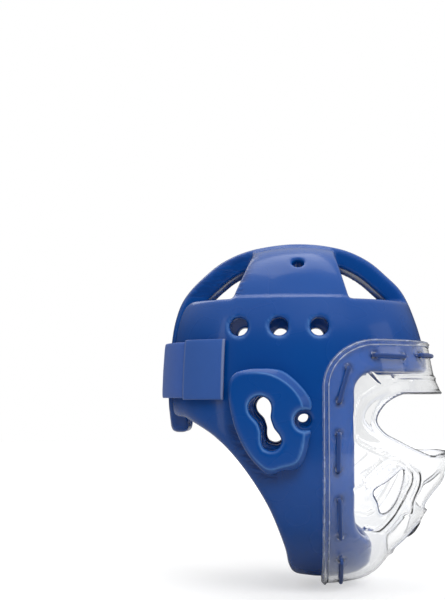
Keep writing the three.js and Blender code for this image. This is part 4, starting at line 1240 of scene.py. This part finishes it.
def round_floor():
    """A flat disc 4 m in radius: rings of points around one middle face."""
    angle = np.radians(np.arange(0, 360, 6))
    rings = np.array([0.5, 1.2, 2.4, 4.0])[:, None]
    points = np.stack(np.broadcast_arrays(rings * np.cos(angle), rings * np.sin(angle), FLOOR), -1)
    mesh = bpy.data.meshes.new("studio_floor")
    mesh.from_pydata(points.reshape(-1, 3).tolist(), [],
                     ring_quads(*points.shape[:2]).tolist() + [list(range(len(angle)))])
    floor = bpy.data.objects.new("studio_floor", mesh)
    bpy.context.scene.collection.objects.link(floor)
    return floor


def seen_directly(tree):
    """1 for rays from the camera or through the clear shield, 0 for reflections and for light."""
    rays = tree.nodes.new("ShaderNodeLightPath")
    return math_node(tree, "MAXIMUM", rays.outputs["Is Camera Ray"], rays.outputs["Is Transmission Ray"])


def smooth_step(tree, value, *limits):
    """From the third limit to the fourth, while the value goes from the first to the second."""
    node = add(tree, "ShaderNodeMapRange", interpolation_type="SMOOTHSTEP")
    tree.links.new(value, node.inputs[0])
    for place, limit in enumerate(limits):
        node.inputs[place + 1].default_value = limit
    return node.outputs[0]


stage = round_floor()
paper, tree, shader, place = material("white_paper", Roughness=0.9)
shader.inputs["Base Color"].default_value = (0.5, 0.5, 0.5, 1)
shader.inputs["Emission Color"].default_value = (1, 1, 1, 1)
apart = add(tree, "ShaderNodeVectorMath", operation="LENGTH")
tree.links.new(place, apart.inputs[0])
glow = math_node(tree, "MULTIPLY", seen_directly(tree),
                 smooth_step(tree, apart.outputs["Value"], 0.45, 1.6, 0.52, 1.0))
tree.links.new(glow, shader.inputs["Emission Strength"])
stage.data.materials.append(paper)

world = bpy.data.worlds.new("surround")
world.use_nodes = True
tree = world.node_tree
way = tree.nodes.new("ShaderNodeSeparateXYZ")
tree.links.new(tree.nodes.new("ShaderNodeTexCoord").outputs["Generated"], way.inputs[0])
rise = smooth_step(tree, way.outputs[2], 0.0, 0.8, 0.03, 0.85)
tree.links.new(math_node(tree, "MAXIMUM", seen_directly(tree), rise), tree.nodes["Background"].inputs[1])
tree.nodes["Background"].inputs[0].default_value = (1, 1, 1, 1)
bpy.context.scene.world = world
bpy.context.scene.view_settings.view_transform = "Standard"
print("floor at", FLOOR)

# %% Lights
AIM = (0, 0, -0.12)


def soft_light(name, place, size, power, mirrored=True):
    """A rectangular area light that looks at the headgear's middle, seen in reflections or not."""
    data = bpy.data.lights.new(name, "AREA")
    data.shape = "RECTANGLE"
    data.size, data.size_y = size
    data.energy = power
    light = bpy.data.objects.new(name, data)
    light.location = place
    light.visible_glossy = mirrored
    x, y, z = np.array(AIM) - np.array(place)
    light.rotation_euler = (math.atan2(math.hypot(x, y), -z), 0, math.atan2(x, -y) + math.pi)
    bpy.context.scene.collection.objects.link(light)
    print(f"{name} light: {power} W")


soft_light("key", (0.5, -1.5, 1.3), (1.2, 1.2), 24, mirrored=False)
soft_light("top", (-0.1, 0.2, 1.6), (1.3, 1.3), 10)
soft_light("front", (1.7, -0.5, 0.35), (0.9, 0.9), 2.2)
soft_light("side", (-1.5, -1.0, 0.3), (0.25, 1.3), 1.4)
soft_light("back", (-1.2, 1.4, 1.5), (1.0, 1.0), 5)
